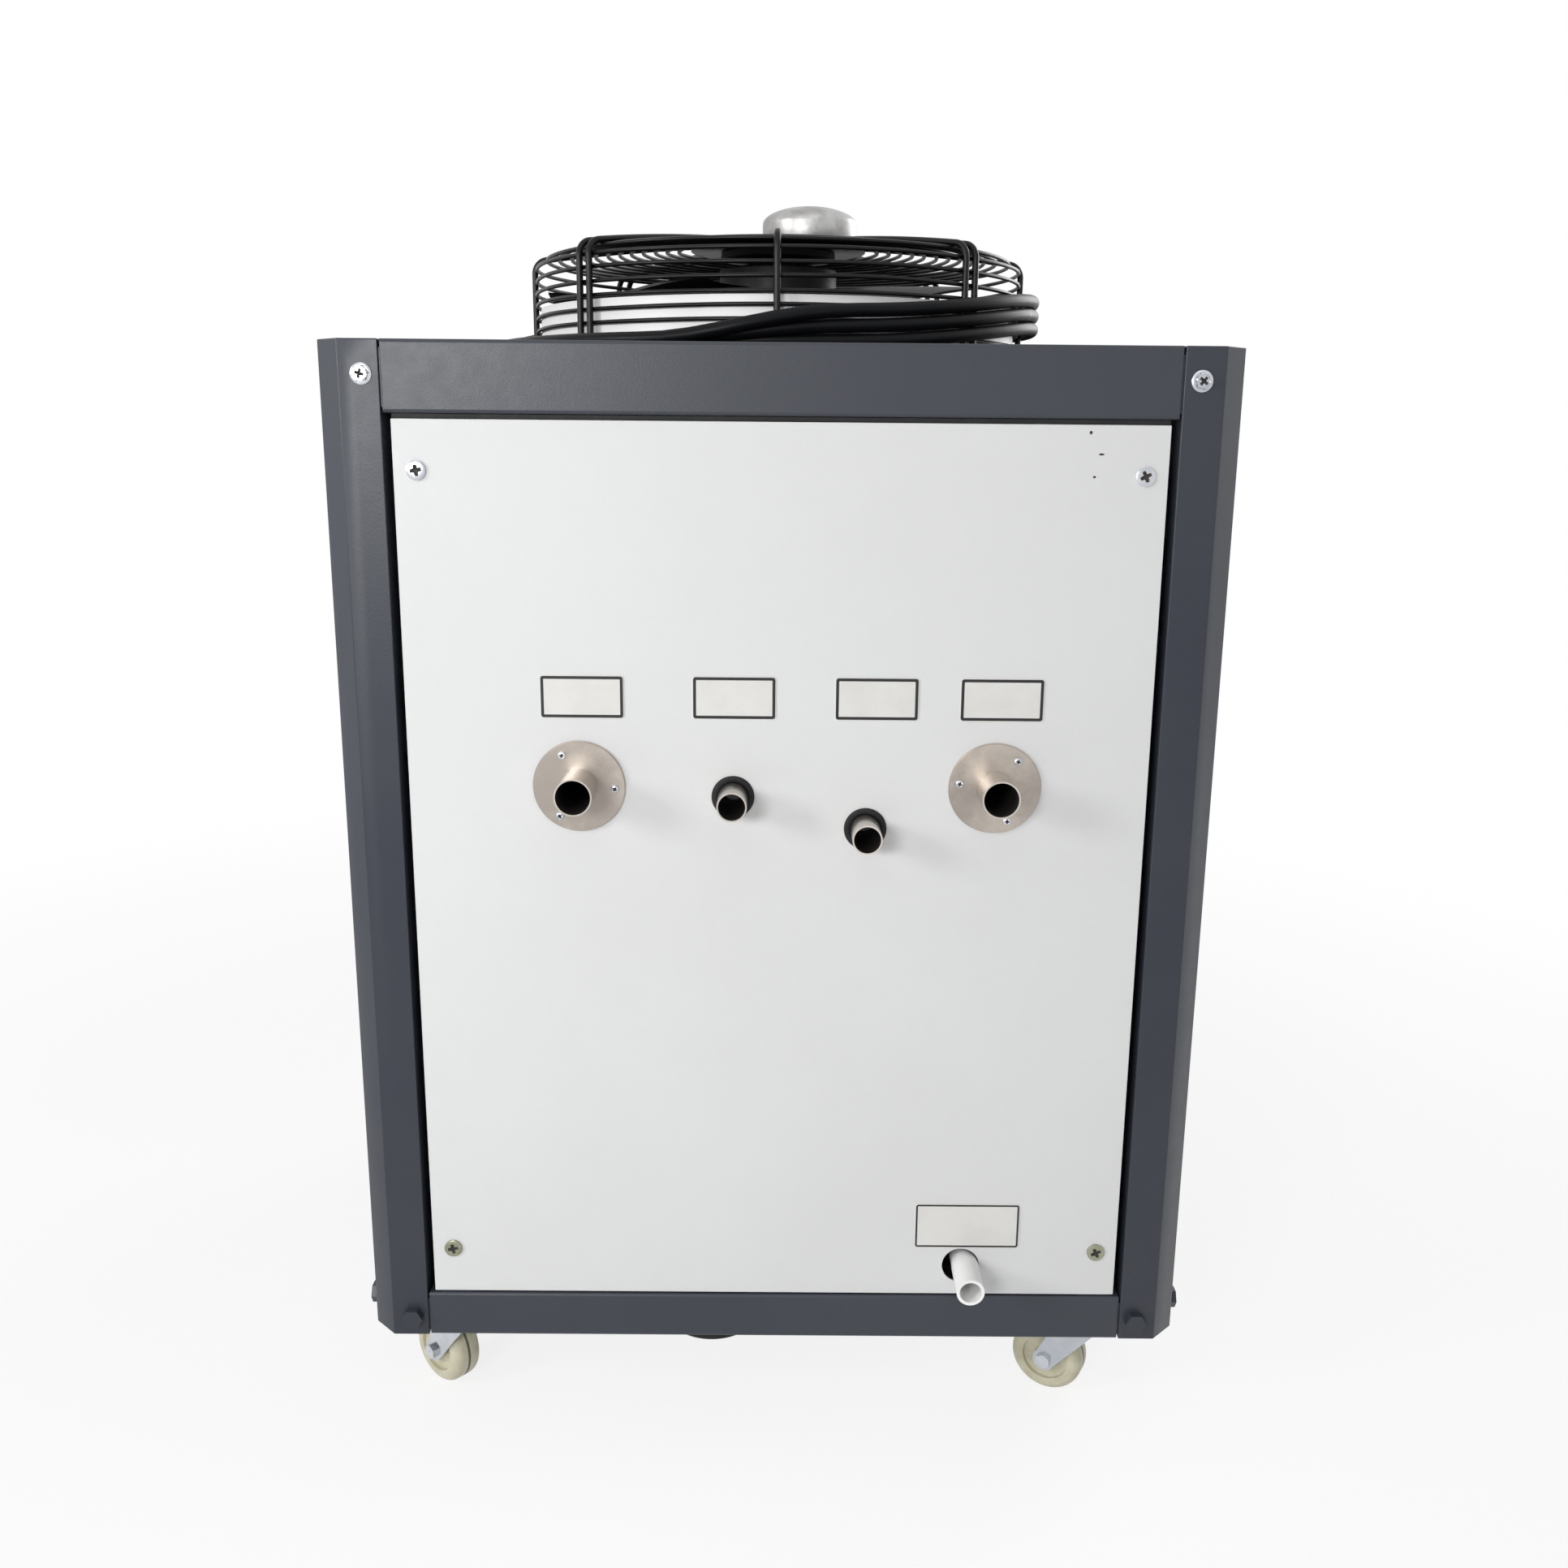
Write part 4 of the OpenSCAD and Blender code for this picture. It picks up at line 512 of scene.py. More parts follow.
# %% Cable cores
core_colours = [(92, 58, 40), (30, 30, 32), (118, 120, 124), (96, 130, 40)]
core_finishes = [moulded("core_sheath_%d" % i, c, c) for i, c in enumerate(core_colours)]
end_at, end_way = route[-1], heading(COIL_TURNS)
end_side = np.cross(end_way, [0, 0, 1])
cores = Shell()
for i in range(4):
    s = np.linspace(-0.012, 0.038, 12)
    turn = np.pi / 2 * i + 0.5 + 18 * s
    spread = 0.0027 + 0.0030 * rise(s / 0.034)
    line = end_at + s[:, None] * end_way + (spread * np.cos(turn))[:, None] * end_side
    line = line + (0.7 * spread * np.sin(turn))[:, None] * np.array([0, 0, 1.0])
    cores.sheet(tube(line, 0.0017, 10), finish=i)
    step = line[-1] - line[-2]
    tip = line[-1] + np.linspace(-0.002, 0.008, 4)[:, None] * step / np.linalg.norm(step)
    cores.sheet(tube(tip, np.array([0.0023, 0.0023, 0.0013, 0.0013]), 10), finish=4)
cores = cores.piece("cable_cores", core_finishes + [zinc], slot="cable_jacket", sharp=40)


# %% [markdown]
# ## The outlet box and its gland
# The gland is a nylon compression nut and a ribbed sleeve that keeps the cable from kinking. Its profile of
# radius against length is spun about the cable's line, with a groove every 3.4 mm along the taper.

# %% Gland
hex_nut = [(4.0, 0), (11.0, 0), (11.4, 0.6), (11.4, 9.2), (10.6, 10.0), (8.0, 10.0)]
along = np.linspace(10, 40, 55)
taper = np.interp(along, [10, 13, 40], [10.4, 10.1, 7.5])
groove = 0.55 * (np.cos((along - 10) / 3.4 * 2 * np.pi) < -0.2) * (along > 13) * (along < 38.5)
sleeve = [(6.2, 10.0)] + list(zip(taper - groove, along)) + [(6.3, 40)]
gland_at = (0.285, 0.132, TOP + 0.012)
gland = Shell().sheet(spun(hex_nut, 6, "y", gland_at)).sheet(spun(sleeve, 40, "y", gland_at))
gland.piece("ribbed_gland", [black_plastic], "cable_gland", "black_plastic")

# %% [markdown]
# ## The wire guard
# The guard is welded from steel wire: rings inside, ribs outside, all dipped in black. Rings are never perfect,
# so each wavers by a fraction of a millimetre. A ring is a small circle carried round a big one.

# %% Guard rings
SIDE_RING_R, RING_R, RIB_R = 253.0, 2.0, 3.2
RIB_PATH_R = 257.8
SHOULDER_R, SHOULDER_Z, SLOPE = 14.0, 87.0, 8.0
DOME_R = RIB_PATH_R - SHOULDER_R + SHOULDER_R * np.sin(np.radians(SLOPE))
DOME_Z = SHOULDER_Z + SHOULDER_R * np.cos(np.radians(SLOPE))
PLATE_R, PLATE_Z, PLATE_T = 92.0, 110.0, 3.0
RIB_END_R, RIB_END_Z = PLATE_R - 6, PLATE_Z + PLATE_T + RIB_R - 0.4
DOME_RISE = (RIB_END_Z - DOME_Z) / (1 - (RIB_END_R / DOME_R) ** 2)
fan_at = np.array([FAN_X * MM, 0, TOP])
rng = np.random.default_rng(11)


def dome_at(r):
    """Height of the dome's wires: highest in the middle, falling with the square of the radius."""
    return DOME_Z + DOME_RISE * (1 - (r / DOME_R) ** 2)


def ring(shell, radius, height, n=120, sides=8):
    """A wire circle that wavers in radius and height by three slow waves of random phase."""
    a = 2 * np.pi * np.arange(n) / n
    phase = rng.uniform(0, 2 * np.pi, (2, 3))
    waves = np.array([2, 3, 5])[:, None] * a
    dr = 0.22 * np.sin(waves + phase[0][:, None]).sum(0)
    dz = 0.30 * np.sin(waves + phase[1][:, None]).sum(0)
    c, s = circle(sides)
    r = radius + dr[:, None] + RING_R * c
    z = height + dz[:, None] + RING_R * s
    p = np.stack([r * np.cos(a)[:, None], r * np.sin(a)[:, None], z], -1) * MM + fan_at
    shell.sheet(p, closed=True)


rings = Shell()
for i in range(7):
    ring(rings, SIDE_RING_R, 13 + 12.5 * i)
for i in range(1, 13):
    r = PLATE_R + 12.5 * i
    ring(rings, r, dome_at(r) - (RIB_R + RING_R - 0.4))
rings.piece("guard_ring_wires", [wire_coat], "guard_rings", "black_paint", sharp=80)
print("guard rings", 19)

# %% [markdown]
# The ribs run up the side, over a tight shoulder and along the dome to the plate that carries the motor. They
# stand in pairs at the four screwed feet and alone between them.

# %% Guard ribs, feet and motor plate
bend = np.radians(np.linspace(0, 90 - SLOPE, 9))
dome_line = np.linspace(DOME_R, RIB_END_R, 15)[1:]
line_r = np.concatenate([[RIB_PATH_R] * 6, RIB_PATH_R - SHOULDER_R + SHOULDER_R * np.cos(bend), dome_line])
line_z = np.concatenate([np.linspace(2, 70, 6), SHOULDER_Z + SHOULDER_R * np.sin(bend), dome_at(dome_line)])


def rib(shell, angle, offset):
    """The rib's line of radius and height, moved sideways by the offset and turned to its angle."""
    a = np.radians(angle)
    out, side = np.array([np.cos(a), np.sin(a), 0]), np.array([-np.sin(a), np.cos(a), 0])
    path = line_r[:, None] * out + offset * side + line_z[:, None] * np.array([0, 0, 1.0])
    shell.sheet(tube(path * MM + fan_at, RIB_R * MM, 12, side))


def round_rect(w, h, r, n=5):
    """Outline of a rectangle w by h about the middle, with corner arcs of radius r, as an array of x, y."""
    out = []
    for sx, sy, a in ((1, 1, 0), (-1, 1, 90), (-1, -1, 180), (1, -1, 270)):
        out += arc(sx * (w / 2 - r), sy * (h / 2 - r), r, a, a + 90, n)
    return np.array(out)


ribs = Shell()
for a in range(0, 360, 45):
    for offset in ([0] if a % 90 == 0 else [-7.25, 7.25]):
        rib(ribs, a, offset)
plate_edge = [(30.5, 110), (91.4, 110), (92, 110.5), (92, 112.5), (91.4, 113), (30.5, 113)]
ribs.sheet(spun(plate_edge, 96, at=fan_at), closed=True)
foot_outline = round_rect(10, 14.5, 1.0)
rows = [np.c_[foot_outline * s, np.full(len(foot_outline), z)] for s, z in ((0.96, 2), (1, 2.3), (1, 3.7), (0.96, 4))]
foot = Shell().sheet(np.stack(rows) * MM)
foot_turns = np.array([45, 135, 225, 315])
foot_places = np.c_[RIB_PATH_R * np.cos(np.radians(foot_turns)), RIB_PATH_R * np.sin(np.radians(foot_turns)),
                    np.zeros(4)] * MM + fan_at
ribs.add(foot.copies(foot_turns, foot_places))
ribs.piece("guard_rib_wires", [wire_coat], "guard_ribs", "black_paint", sharp=50)

# %% [markdown]
# ## Fan rotor, motor and cap
# The blades are moulded plastic: each is a twisted sheet whose chord turns from steep at the hub to flat at the
# tip, a little hollow, thick in the middle and thin at its edges. The chord runs round as one closed loop, over
# the upper face and back under the lower one, so the sheet closes by itself.

# %% Rotor
CUP_R, BLADE_R, COLLAR_H = 62.0, 242.0, 47.5


def blade_loop(u, c, side, thick):
    """Radius grows with u, angle with the chord share c and the sweep, height follows pitch and camber."""
    root = CUP_R - 4.5
    r = root + u * (BLADE_R - root)
    half = 28 + u * (21 - 28)
    axial = COLLAR_H * (0.86 + u * (0.66 - 0.86))
    a = np.radians(22 * u * u + (2 * c - 1) * half)
    z = 50 + (c - 0.5) * axial + 5 * (1 - (2 * c - 1) ** 2) + side * thick / 2
    return np.stack([r * np.cos(a), r * np.sin(a), z], -1)


u = np.linspace(0, 1, 22)[:, None]
c_up = (1 - np.cos(np.pi * np.linspace(0, 1, 18))) / 2
chord = np.concatenate([c_up, c_up[::-1][1:-1]])[None, :]
side = np.concatenate([np.ones(18), -np.ones(16)])[None, :]
thick = 2.4 * np.sqrt(np.clip(4 * chord * (1 - chord), 0.02, 1)) * (1 + 0.5 * (1 - u) ** 3)
rotor = Shell().sheet(blade_loop(u, chord, side, thick) * MM)
rotor.copies(72 * np.arange(5), [fan_at])
cup = [(3, 18), (56, 18)] + arc(56, 24, 6, -90, 0) + [(62, 91), (61, 92), (54, 92), (53, 91), (53, 26), (12, 26),
                                                      (7, 30), (7, 96), (3, 96)]
rotor.sheet(spun(cup, 96, at=fan_at))
rotor.piece("swept_fan", [blade_plastic], "fan_rotor", "blade_plastic", body="fan_rotor")

# %% [markdown]
# The motor body has cooling fins: its radius is a square wave of the angle. The cap over its terminals is a
# domed casting, which shows above the guard as a pale hump.

# %% Motor and cap
fin = np.where((np.arange(240) // 4) % 2 == 0, 48.0, 44.6)
body = [(7.1, 30), (40, 30), (fin, 31), (fin, 50), (fin, 75), (fin, 94), (44, 95), (7.1, 95)]
motor = Shell().sheet(spun(body, 240, at=fan_at), closed=True)
motor.sheet(spun([(7.1, 94.5), (59, 102), (60, 103), (60, 109), (59, 110), (29.5, 110), (29.5, 113), (7.1, 113)], 96,
                 at=fan_at), closed=True)
motor.piece("finned_motor", [motor_coat], "fan_motor", "motor_paint")

dome = [(0.5, 0), (48.5, 0), (49.5, 1.0), (49.5, 25)] + [
    (49.5 * np.cos(v), 25 + 18 * np.sin(v)) for v in np.radians(np.linspace(6, 88, 20))]
hump = Shell().sheet(spun(dome, 72, at=fan_at + np.array([0.033, 0, 0.113])))
hump.piece("terminal_cap", [aluminium], "motor_cap", "aluminium", sharp=50)
print("fan", "5 blades, tip radius", BLADE_R, "mm")

# %% [markdown]
# ## Softened sheet metal
# Folded sheet has rounded bends that catch the light, and a sharp CAD edge looks like card. A copy of each sheet
# part gets its loose triangles merged into plain faces, and a Bevel modifier rounds its edges. Subdivision would
# melt the whole shape instead. Only long edges are asked for where round holes should stay crisp, as in punched
# sheet, and plain faces are shaded flat where smooth shading would leave gradients on them.


# %% Rounded copies of the CAD sheet parts
BEND = 35


def softened(node, width, finish, segments=2, body="cabinet", shortest=6.0, flat=False):
    """Joins a node's triangles that lie in one plane and rounds the edges left that turn by more than BEND degrees:
    all of them if shortest is 0, else those that are longer. Lengths are in millimetres."""
    work = bmesh.new()
    work.from_mesh(NODES[node].data)
    bmesh.ops.remove_doubles(work, verts=work.verts, dist=1e-5)
    bmesh.ops.dissolve_limit(work, angle_limit=np.radians(0.4), verts=work.verts, edges=work.edges)
    bmesh.ops.recalc_face_normals(work, faces=work.faces)
    mesh = bpy.data.meshes.new(node + "_soft")
    work.to_mesh(mesh)
    work.free()
    count = len(mesh.edges)
    ends, sharp, at = np.empty(2 * count, int), np.empty(count, bool), np.empty(3 * len(mesh.vertices))
    mesh.edges.foreach_get("vertices", ends)
    mesh.vertices.foreach_get("co", at)
    mesh.set_sharp_from_angle(angle=np.radians(BEND))
    mesh.attributes["sharp_edge"].data.foreach_get("value", sharp)
    first, second = at.reshape(-1, 3)[ends.reshape(-1, 2)].transpose(1, 0, 2)
    long = np.linalg.norm(second - first, axis=1) > shortest * MM
    weight = mesh.attributes.new("bevel_weight_edge", "FLOAT", "EDGE")
    weight.data.foreach_set("value", (sharp & long).astype(float))
    obj = place(node + "_soft", mesh, [finish], node, sharp=60, body=body)
    ease = obj.modifiers.new("rounded_edges", "BEVEL")
    ease.width, ease.segments, ease.limit_method = width * MM, segments, "WEIGHT" if shortest else "ANGLE"
    ease.angle_limit = np.radians(BEND)
    ease.use_clamp_overlap, ease.harden_normals = False, not flat
    if flat:
        mesh.polygons.foreach_set("use_smooth", np.zeros(len(mesh.polygons), bool))


for corner in CORNERS:
    softened("corner_post_" + corner, 1.1, slate_coat, shortest=0)
for node in ("top_rails_front_rear", "top_rails_side", "bottom_rails_front_rear", "bottom_rails_side"):
    softened(node, 1.1, lit_rail_coat, flat=True)
softened("pipe_panel", 0.7, pipe_panel_coat, flat=True)
for node in ("control_panel", "side_panel_left", "side_panel_right"):
    softened(node, 0.7, white_coat, flat=True)
softened("top_panel", 0.7, slate_coat, flat=True)
softened("cable_box", 1.6, black_plastic, 3, shortest=0)
for corner in CORNERS:
    softened("caster_fork_" + corner, 0.4, chrome, body="caster_" + corner, shortest=30)
softened("caster_plates", 0.6, zinc, shortest=0)
print("softened sheet parts", 18)

# %% [markdown]
# A black strip in the rubber finish fills the slit above each panel, painted shade for that slit. It is a small
# rounded section, drawn as the strip's end and carried from one side of the panel to the other.


# %% Seal strips
STRIP_Z, STRIP_IN = 991.65, 3.1


def shade_strip(half, reach):
    """The rounded section, 1.6 deep and 4.2 high, at both ends of a strip that lies in front, at -reach."""
    section = round_rect(1.6, 4.2, 0.6)
    y, z = section[:, 0] - reach + STRIP_IN, section[:, 1] + STRIP_Z
    rows = [np.c_[np.full(len(section), x), y, z] for x in (-half, half)]
    return Shell().sheet(np.stack(rows) * MM)


# Painted shade: dark strips that stand for the shade in the slits above the panels
strips = shade_strip(334, 350).copies([0, 180])
strips.add(shade_strip(284, 400).copies([90, 270]))
strips.piece("panel_shade_strips", [rubber], slot="black_rubber", sharp=50)
print("shade strips", 4)

# %% [markdown]
# ## Label plates
# Each plate is a thin film-faced sheet with a black printed line round it. The print on the real ones isn't
# copied. A plate is a stack of rounded outlines from the back to its face, and the last band takes the print's
# finish.


# %% Labels
def label(shell, x, z, w, h, line):
    """Rounded outlines, each smaller and further out, the last band of which is the printed border."""
    rows = []
    for inset, out in ((0, 0), (0, 0.55), (0.25, 0.8), (0.7, 0.8), (0.7 + line, 0.8)):
        p = round_rect(w - 2 * inset, h - 2 * inset, max(3 - inset, 0.5))
        rows.append(np.c_[p[:, 0] + x, np.full(len(p), -PANEL_Y - out), p[:, 1] + z])
    shell.sheet(np.stack(rows) * MM, finish=[[0], [0], [0], [1]])


labels = Shell()
for x in (-176.5, -40.3, 87.5, 199.6):
    label(labels, x, 749, 75, 39, line=2.7)
label(labels, 187.7, 227.7, 102, 47, line=1.8)
labels.piece("printed_labels", [film, border], "label_plates", "label_film")
print("labels", 5)


# %% [markdown]
# ## Screws and bolts
# The panels hang on pan-head screws with a cross recess. The head is a dome whose height drops inside a cross:
# the recess mask is the larger of two narrow bumps, one along each axis, faded out with the radius.

# %% Cross-recess screws and flange bolts
def screw_head(r, h, recess=1.5, rows=26, cols=48):
    """Height over the face is a dome of the radius, minus the cross: near 1 where x or y is small, 0 outside."""
    rho = np.concatenate([np.linspace(0, 1, rows) ** 0.9, [1.0]])[:, None] * r
    a = (2 * np.pi * np.arange(cols) / cols)[None, :]
    x, y = rho * np.cos(a), rho * np.sin(a)
    dome = h * (0.55 + 0.45 * np.sqrt(np.clip(1 - (rho / (r * 1.02)) ** 2.4, 0, 1))) + 0 * a
    wide, reach = 0.13 * r, 0.58 * r
    bar = np.maximum(rise((wide * 1.5 - np.abs(x)) / wide * 1.2), rise((wide * 1.5 - np.abs(y)) / wide * 1.2))
    dome = dome - recess * bar * rise((reach - rho) / (0.3 * r))
    dome[-1] = 0
    return np.stack([x, y, dome], -1)


def faced(p, side, sign):
    """Turns a head made facing +Z so that it faces -Y, +Y, -X or +X."""
    x, y, z = p[..., 0], p[..., 1], p[..., 2]
    return np.stack([x, sign * z, y] if side == "y" else [sign * z, x, y], -1)


def in_cross(p, r):
    """For each quad of a head, whether it lies in the cross and takes painted shade: near one of its two bars, and not
    far from the middle.
    """
    x, y = p[:-1, :, 0], p[:-1, :, 1]
    return (np.minimum(np.abs(x), np.abs(y)) < 0.18 * r) & (np.hypot(x, y) < 0.56 * r)


def heads(name, places, head, cross_r, finish, stands_for=(), seed=3):
    """One head for each place: x, y, z, side letter and sign, turned by a random angle as a hand leaves it."""
    shell = Shell()
    spin = np.random.default_rng(seed)
    for x, y, z, side, sign in places:
        p = faced(turned(head, spin.uniform(0, np.pi / 2)), side, sign) * MM + np.array([x, y, z]) * MM
        shell.sheet(p, finish=in_cross(head, cross_r))
    shell.piece(name, [finish, recess_painted_shade], stands_for, "zinc", sharp=45)


def flange_bolt():
    """A washer face, a hexagon with chamfered corners above it, and a shallow dish with a cross in its top."""
    hexagon = 7.4 * np.cos(np.pi / 6) / np.cos((2 * np.pi * np.arange(48) / 48) % (np.pi / 3) - np.pi / 6)
    profile = [(9.2, 0), (9.2, 1.2), (8.4, 1.8), (hexagon, 1.8), (hexagon, 6.3), (6.4, 7.0), (5.4, 7.0), (5.0, 6.2)]
    top = screw_head(5.0, 0.01, 1.6, 12, 48)[-2::-1]
    top[..., 2] = np.minimum(top[..., 2], 0) + 6.2
    return np.concatenate([carried_round(profile, 48), top[1:]])


PAN_R = 8.6
SCREW_X, SCREW_Y, HIGH, LOW = 315, 265, 946, 200
BOLT_X, BOLT_Y, BOLT_Z = 357.5, 350, 1026
pan_head = screw_head(PAN_R, 2.6)
print("head points", pan_head.shape)

front = [(sx * SCREW_X, -PANEL_Y, HIGH, "y", -1) for sx in (-1, 1)]
front_low = [(sx * SCREW_X, -PANEL_Y, LOW, "y", -1) for sx in (-1, 1)]
rear = [(sx * SCREW_X, PANEL_Y, z, "y", 1) for sx in (-1, 1) for z in (HIGH, LOW)]
sides = [(s * SIDE_X, sy * SCREW_Y, z, "x", s) for s in (-1, 1) for sy in (-1, 1) for z in (HIGH, LOW)]
heads("panel_screw_heads", front + rear + sides, pan_head, PAN_R, zinc, "panel_screws")
heads("low_screw_heads", front_low, pan_head, PAN_R, olive_zinc)
post_faces = [(sx * BOLT_X, sy * BOLT_Y, BOLT_Z, "y", sy) for sx in (-1, 1) for sy in (-1, 1)]
heads("post_flange_bolts", post_faces, flange_bolt(), 8.0, zinc, "post_bolts", seed=5)

# %% [markdown]
# ## Casters
# The wheels are solid nylon with round shoulders and a parting seam round the middle. The profile of radius
# against width is spun about the axle. The seam's few rows take a darker finish, painted shade in its groove. Each
# caster is left turned by its own angle, as after a push.

# %% Wheels
WHEEL_R, WHEEL_W, TRAIL = 37.5, 32.0, 33.0
CASTER_X, CASTER_Y = 321, 285
SWINGS = zip(CORNERS, (-1, 1, -1, 1), (-1, -1, 1, 1), (48, 62, 12, 30))
half = WHEEL_W / 2
right = arc(WHEEL_R - 9, half - 9, 9, 0, 90, 9)[::-1]
right_side = [(5.06, half), (11.4, half), (12, half - 0.6), (12.6, half - 4), (15, half - 4.2), (21, half - 4),
              (23.4, half - 3.4), (24, half - 0.3), (24.6, half)]
profile = right_side + right + [(37.5, 2.0), (37.5, 0.9), (36.8, 0.4)]
profile = profile + [(r, -z) for r, z in profile[::-1]]
# Painted shade: the rows of the seam's groove take the darker finish
seam = np.abs([z for _, z in profile])[:, None] < 1.0
for corner, sx, sy, turn in SWINGS:
    v = np.radians(turn)
    centre = np.array([sx * CASTER_X - TRAIL * np.sin(v), sy * CASTER_Y + TRAIL * np.cos(v), WHEEL_R]) * MM
    wheel = Shell().sheet(turned(spun(profile, 72, "x"), v) + centre, closed=True, finish=seam)
    wheel.piece("nylon_wheel_" + corner, [nylon, seam_shade], "caster_wheel_" + corner, "nylon", sharp=40,
                body="wheel_" + corner)
print("wheels", 4)

# %% [markdown]
# ## Grommets and flange screws
# The two small pipes pass the panel in rubber grommets: a lip in front, a groove round the sheet, a lip behind. The
# profile is spun about each pipe. The flange plates are held by three small screws each.

# %% Grommets
lip = [(13.06, 4.2), (19.0, 4.2), (19.5, 3.7), (19.5, 2.5), (19.0, 2.02), (17.08, 2.02), (17.08, 0), (19.2, 0),
       (19.5, -0.5), (19.3, -1.3), (18.4, -2.0), (16.6, -2.2), (15.0, -2.0), (13.9, -1.3), (13.06, -0.2)]
grommets = Shell()
for x, z in SMALL_PIPES:
    grommets.sheet(spun(lip, 64, "y", np.array([x, -PANEL_Y, z]) * MM), closed=True)
grommets.piece("rubber_grommets", [rubber], "pipe_grommets", "black_rubber", sharp=60)

FLANGE_T, SCREW_RING_R = 3, 32.5
around = [(cx + SCREW_RING_R * np.cos(a), -PANEL_Y - FLANGE_T, cz + SCREW_RING_R * np.sin(a), "y", -1)
          for (cx, cz), first in zip(WATER_PIPES, (117, 52)) for a in np.radians(first + 120 * np.arange(3))]
heads("flange_screw_heads", around, screw_head(3.6, 2.6, 0.9, 14, 32), 3.6, zinc, "flange_screws", seed=9)

# %% [markdown]
# ## Controls on the rear panel
# A chiller of this kind is run from the side opposite its pipes: a digital controller with four keys, a water
# pressure gauge, a rotary main switch on a square plate and two signal lamps. Flat pads are stacks of rounded
# outlines, round parts are spun profiles, and both are drawn as someone who faces that panel sees them.

# %% Helpers for the rear panel
def on_rear(p, x, z):
    """Points drawn as right, up and out by someone who faces the rear panel, put at their place on it."""
    p = np.asarray(p, float)
    return np.stack([x - p[..., 0], PANEL_Y + p[..., 2], z + p[..., 1]], -1) * MM


def pad(shell, x, z, w, h, r, steps, finish=0, shift=(0, 0), turn=0.0):
    """Rounded outlines at each (inset, height), joined into a closed pad, shifted and turned in its own plane."""
    rows, t = [], np.radians(turn)
    for inset, out in steps:
        q = turned(round_rect(w - 2 * inset, h - 2 * inset, max(r - inset, 0.05)) + shift, t)
        rows.append(np.c_[q, np.full(len(q), out)])
    shell.sheet(on_rear(np.stack(rows), x, z), finish=finish)


def knob(shell, x, z, profile, finish=0, n=64):
    """A spun profile of radius and height that stands out of the rear panel."""
    shell.sheet(spun(profile, n, "y", np.array([x, PANEL_Y, z]) * MM), finish=finish)


screen_glass = moulded("screen_glass", (18, 26, 30), (22, 32, 38), rough=0.08, depth=0.0)
lit_red = moulded("readout_red", (226, 64, 44), (214, 52, 36), rough=0.3)
yellow_film = moulded("switch_plate_yellow", (226, 190, 44), (212, 176, 40))
green_lens = moulded("green_lens", (34, 142, 74), (28, 122, 62), rough=0.14, coat_weight=0.5)
red_lens = moulded("red_lens", (188, 34, 30), (164, 26, 24), rough=0.14, coat_weight=0.5)
key_rubber = moulded("key_rubber", (92, 96, 104), (80, 84, 92), rough=0.5)
print("rear panel finishes", 6)

# %% Controller
CONTROLLER_AT = (70, 795)
SEGMENT = [(0, 8.7), (0, 8.95)]
case = Shell()
flat = partial(pad, case, *CONTROLLER_AT)
flat(190, 110, 6, [(0, 0), (0, 6.4), (0.5, 7.5), (1.6, 8)])
flat(104, 52, 3, [(0, 7.9), (0, 8.7), (0.7, 9.3), (3.2, 9.3), (4.0, 8.5)], shift=(-38, 0))
flat(95, 43, 1.5, [(0, 8.4), (0, 8.7), (0.4, 8.8)], finish=1, shift=(-38, 0))
for i in range(4):
    x, z = 22.5 - 21 * (i % 2), CONTROLLER_AT[1] + (10.5 if i < 2 else -10.5)
    knob(case, x, z, [(7, 7.9), (7, 8.8), (6.5, 9.3), (5.4, 9.5), (1.0, 9.4)], 2, 40)
    pad(case, x, z, 4.2, 0.9, 0.4, [(0, 9.3), (0, 9.6)], 3)
    if i < 2:
        pad(case, x, z, 0.9, 4.2, 0.4, [(0, 9.3), (0, 9.6)], 3)
# Seven bars make a digit: shares of its half width and half height, and whether the bar stands upright
BARS = {"a": (0, 1, 0), "b": (1, 0.5, 1), "c": (1, -0.5, 1), "d": (0, -1, 0), "e": (-1, -0.5, 1), "f": (-1, 0.5, 1),
        "g": (0, 0, 0)}
for x, digit in ((-64, "bc"), (-44, "abged"), (-24, "acdfg")):
    for bar in digit:
        bx, by, upright = BARS[bar]
        w, h = (1.7, 9.4) if upright else (9.0, 1.7)
        flat(w, h, 0.8, SEGMENT, 4, (x + 5.4 * bx, 10.6 * by))
flat(1.8, 1.8, 0.8, SEGMENT, 4, (-34, -10.6))
for z in (8, 0, -8):
    flat(4.5, 2.0, 0.9, SEGMENT, 4 if z == 8 else 3, (-2, z))
case.piece("controller", [black_plastic, screen_glass, key_rubber, film, lit_red], "control_unit", "black_plastic")

# %% Gauge and lamps
GAUGE_AT = (-150, 885)
gauge = Shell()
disc, flat = partial(knob, gauge, *GAUGE_AT), partial(pad, gauge, *GAUGE_AT)
disc([(2, 0), (29, 0), (31.5, 1.0), (32, 3), (32, 18), (31.3, 20.6), (29.8, 22), (28.6, 21.6), (27.6, 20),
      (27.4, 17.5), (2, 17.5)], 0, 96)
disc([(0.5, 17.4), (27.3, 17.4), (27.3, 17.7), (0.5, 17.7)], 1, 96)
for k in range(31):
    w, h, middle = (0.9, 4.6, 23.6) if k % 5 == 0 else (0.45, 2.6, 24.6)
    flat(w, h, 0.2, [(0, 17.6), (0, 17.8)], 2, (0, middle), turn=135 - 9 * k)
flat(1.3, 27, 0.6, [(0, 18.2), (0, 18.7)], 3, (0, 8.5), turn=62)
disc([(3.6, 17.6), (3.6, 18.9), (2.8, 19.4), (0.6, 19.5)], 2, 32)
gauge.piece("pressure_gauge", [zinc, film, border, red_plastic], slot="black_plastic")
lamps = Shell()
bezel = [(2, 0), (10.6, 0), (11, 0.5), (11, 2.6), (10.2, 3.4), (8.9, 3.5), (8.9, 2.0), (2, 2.0)]
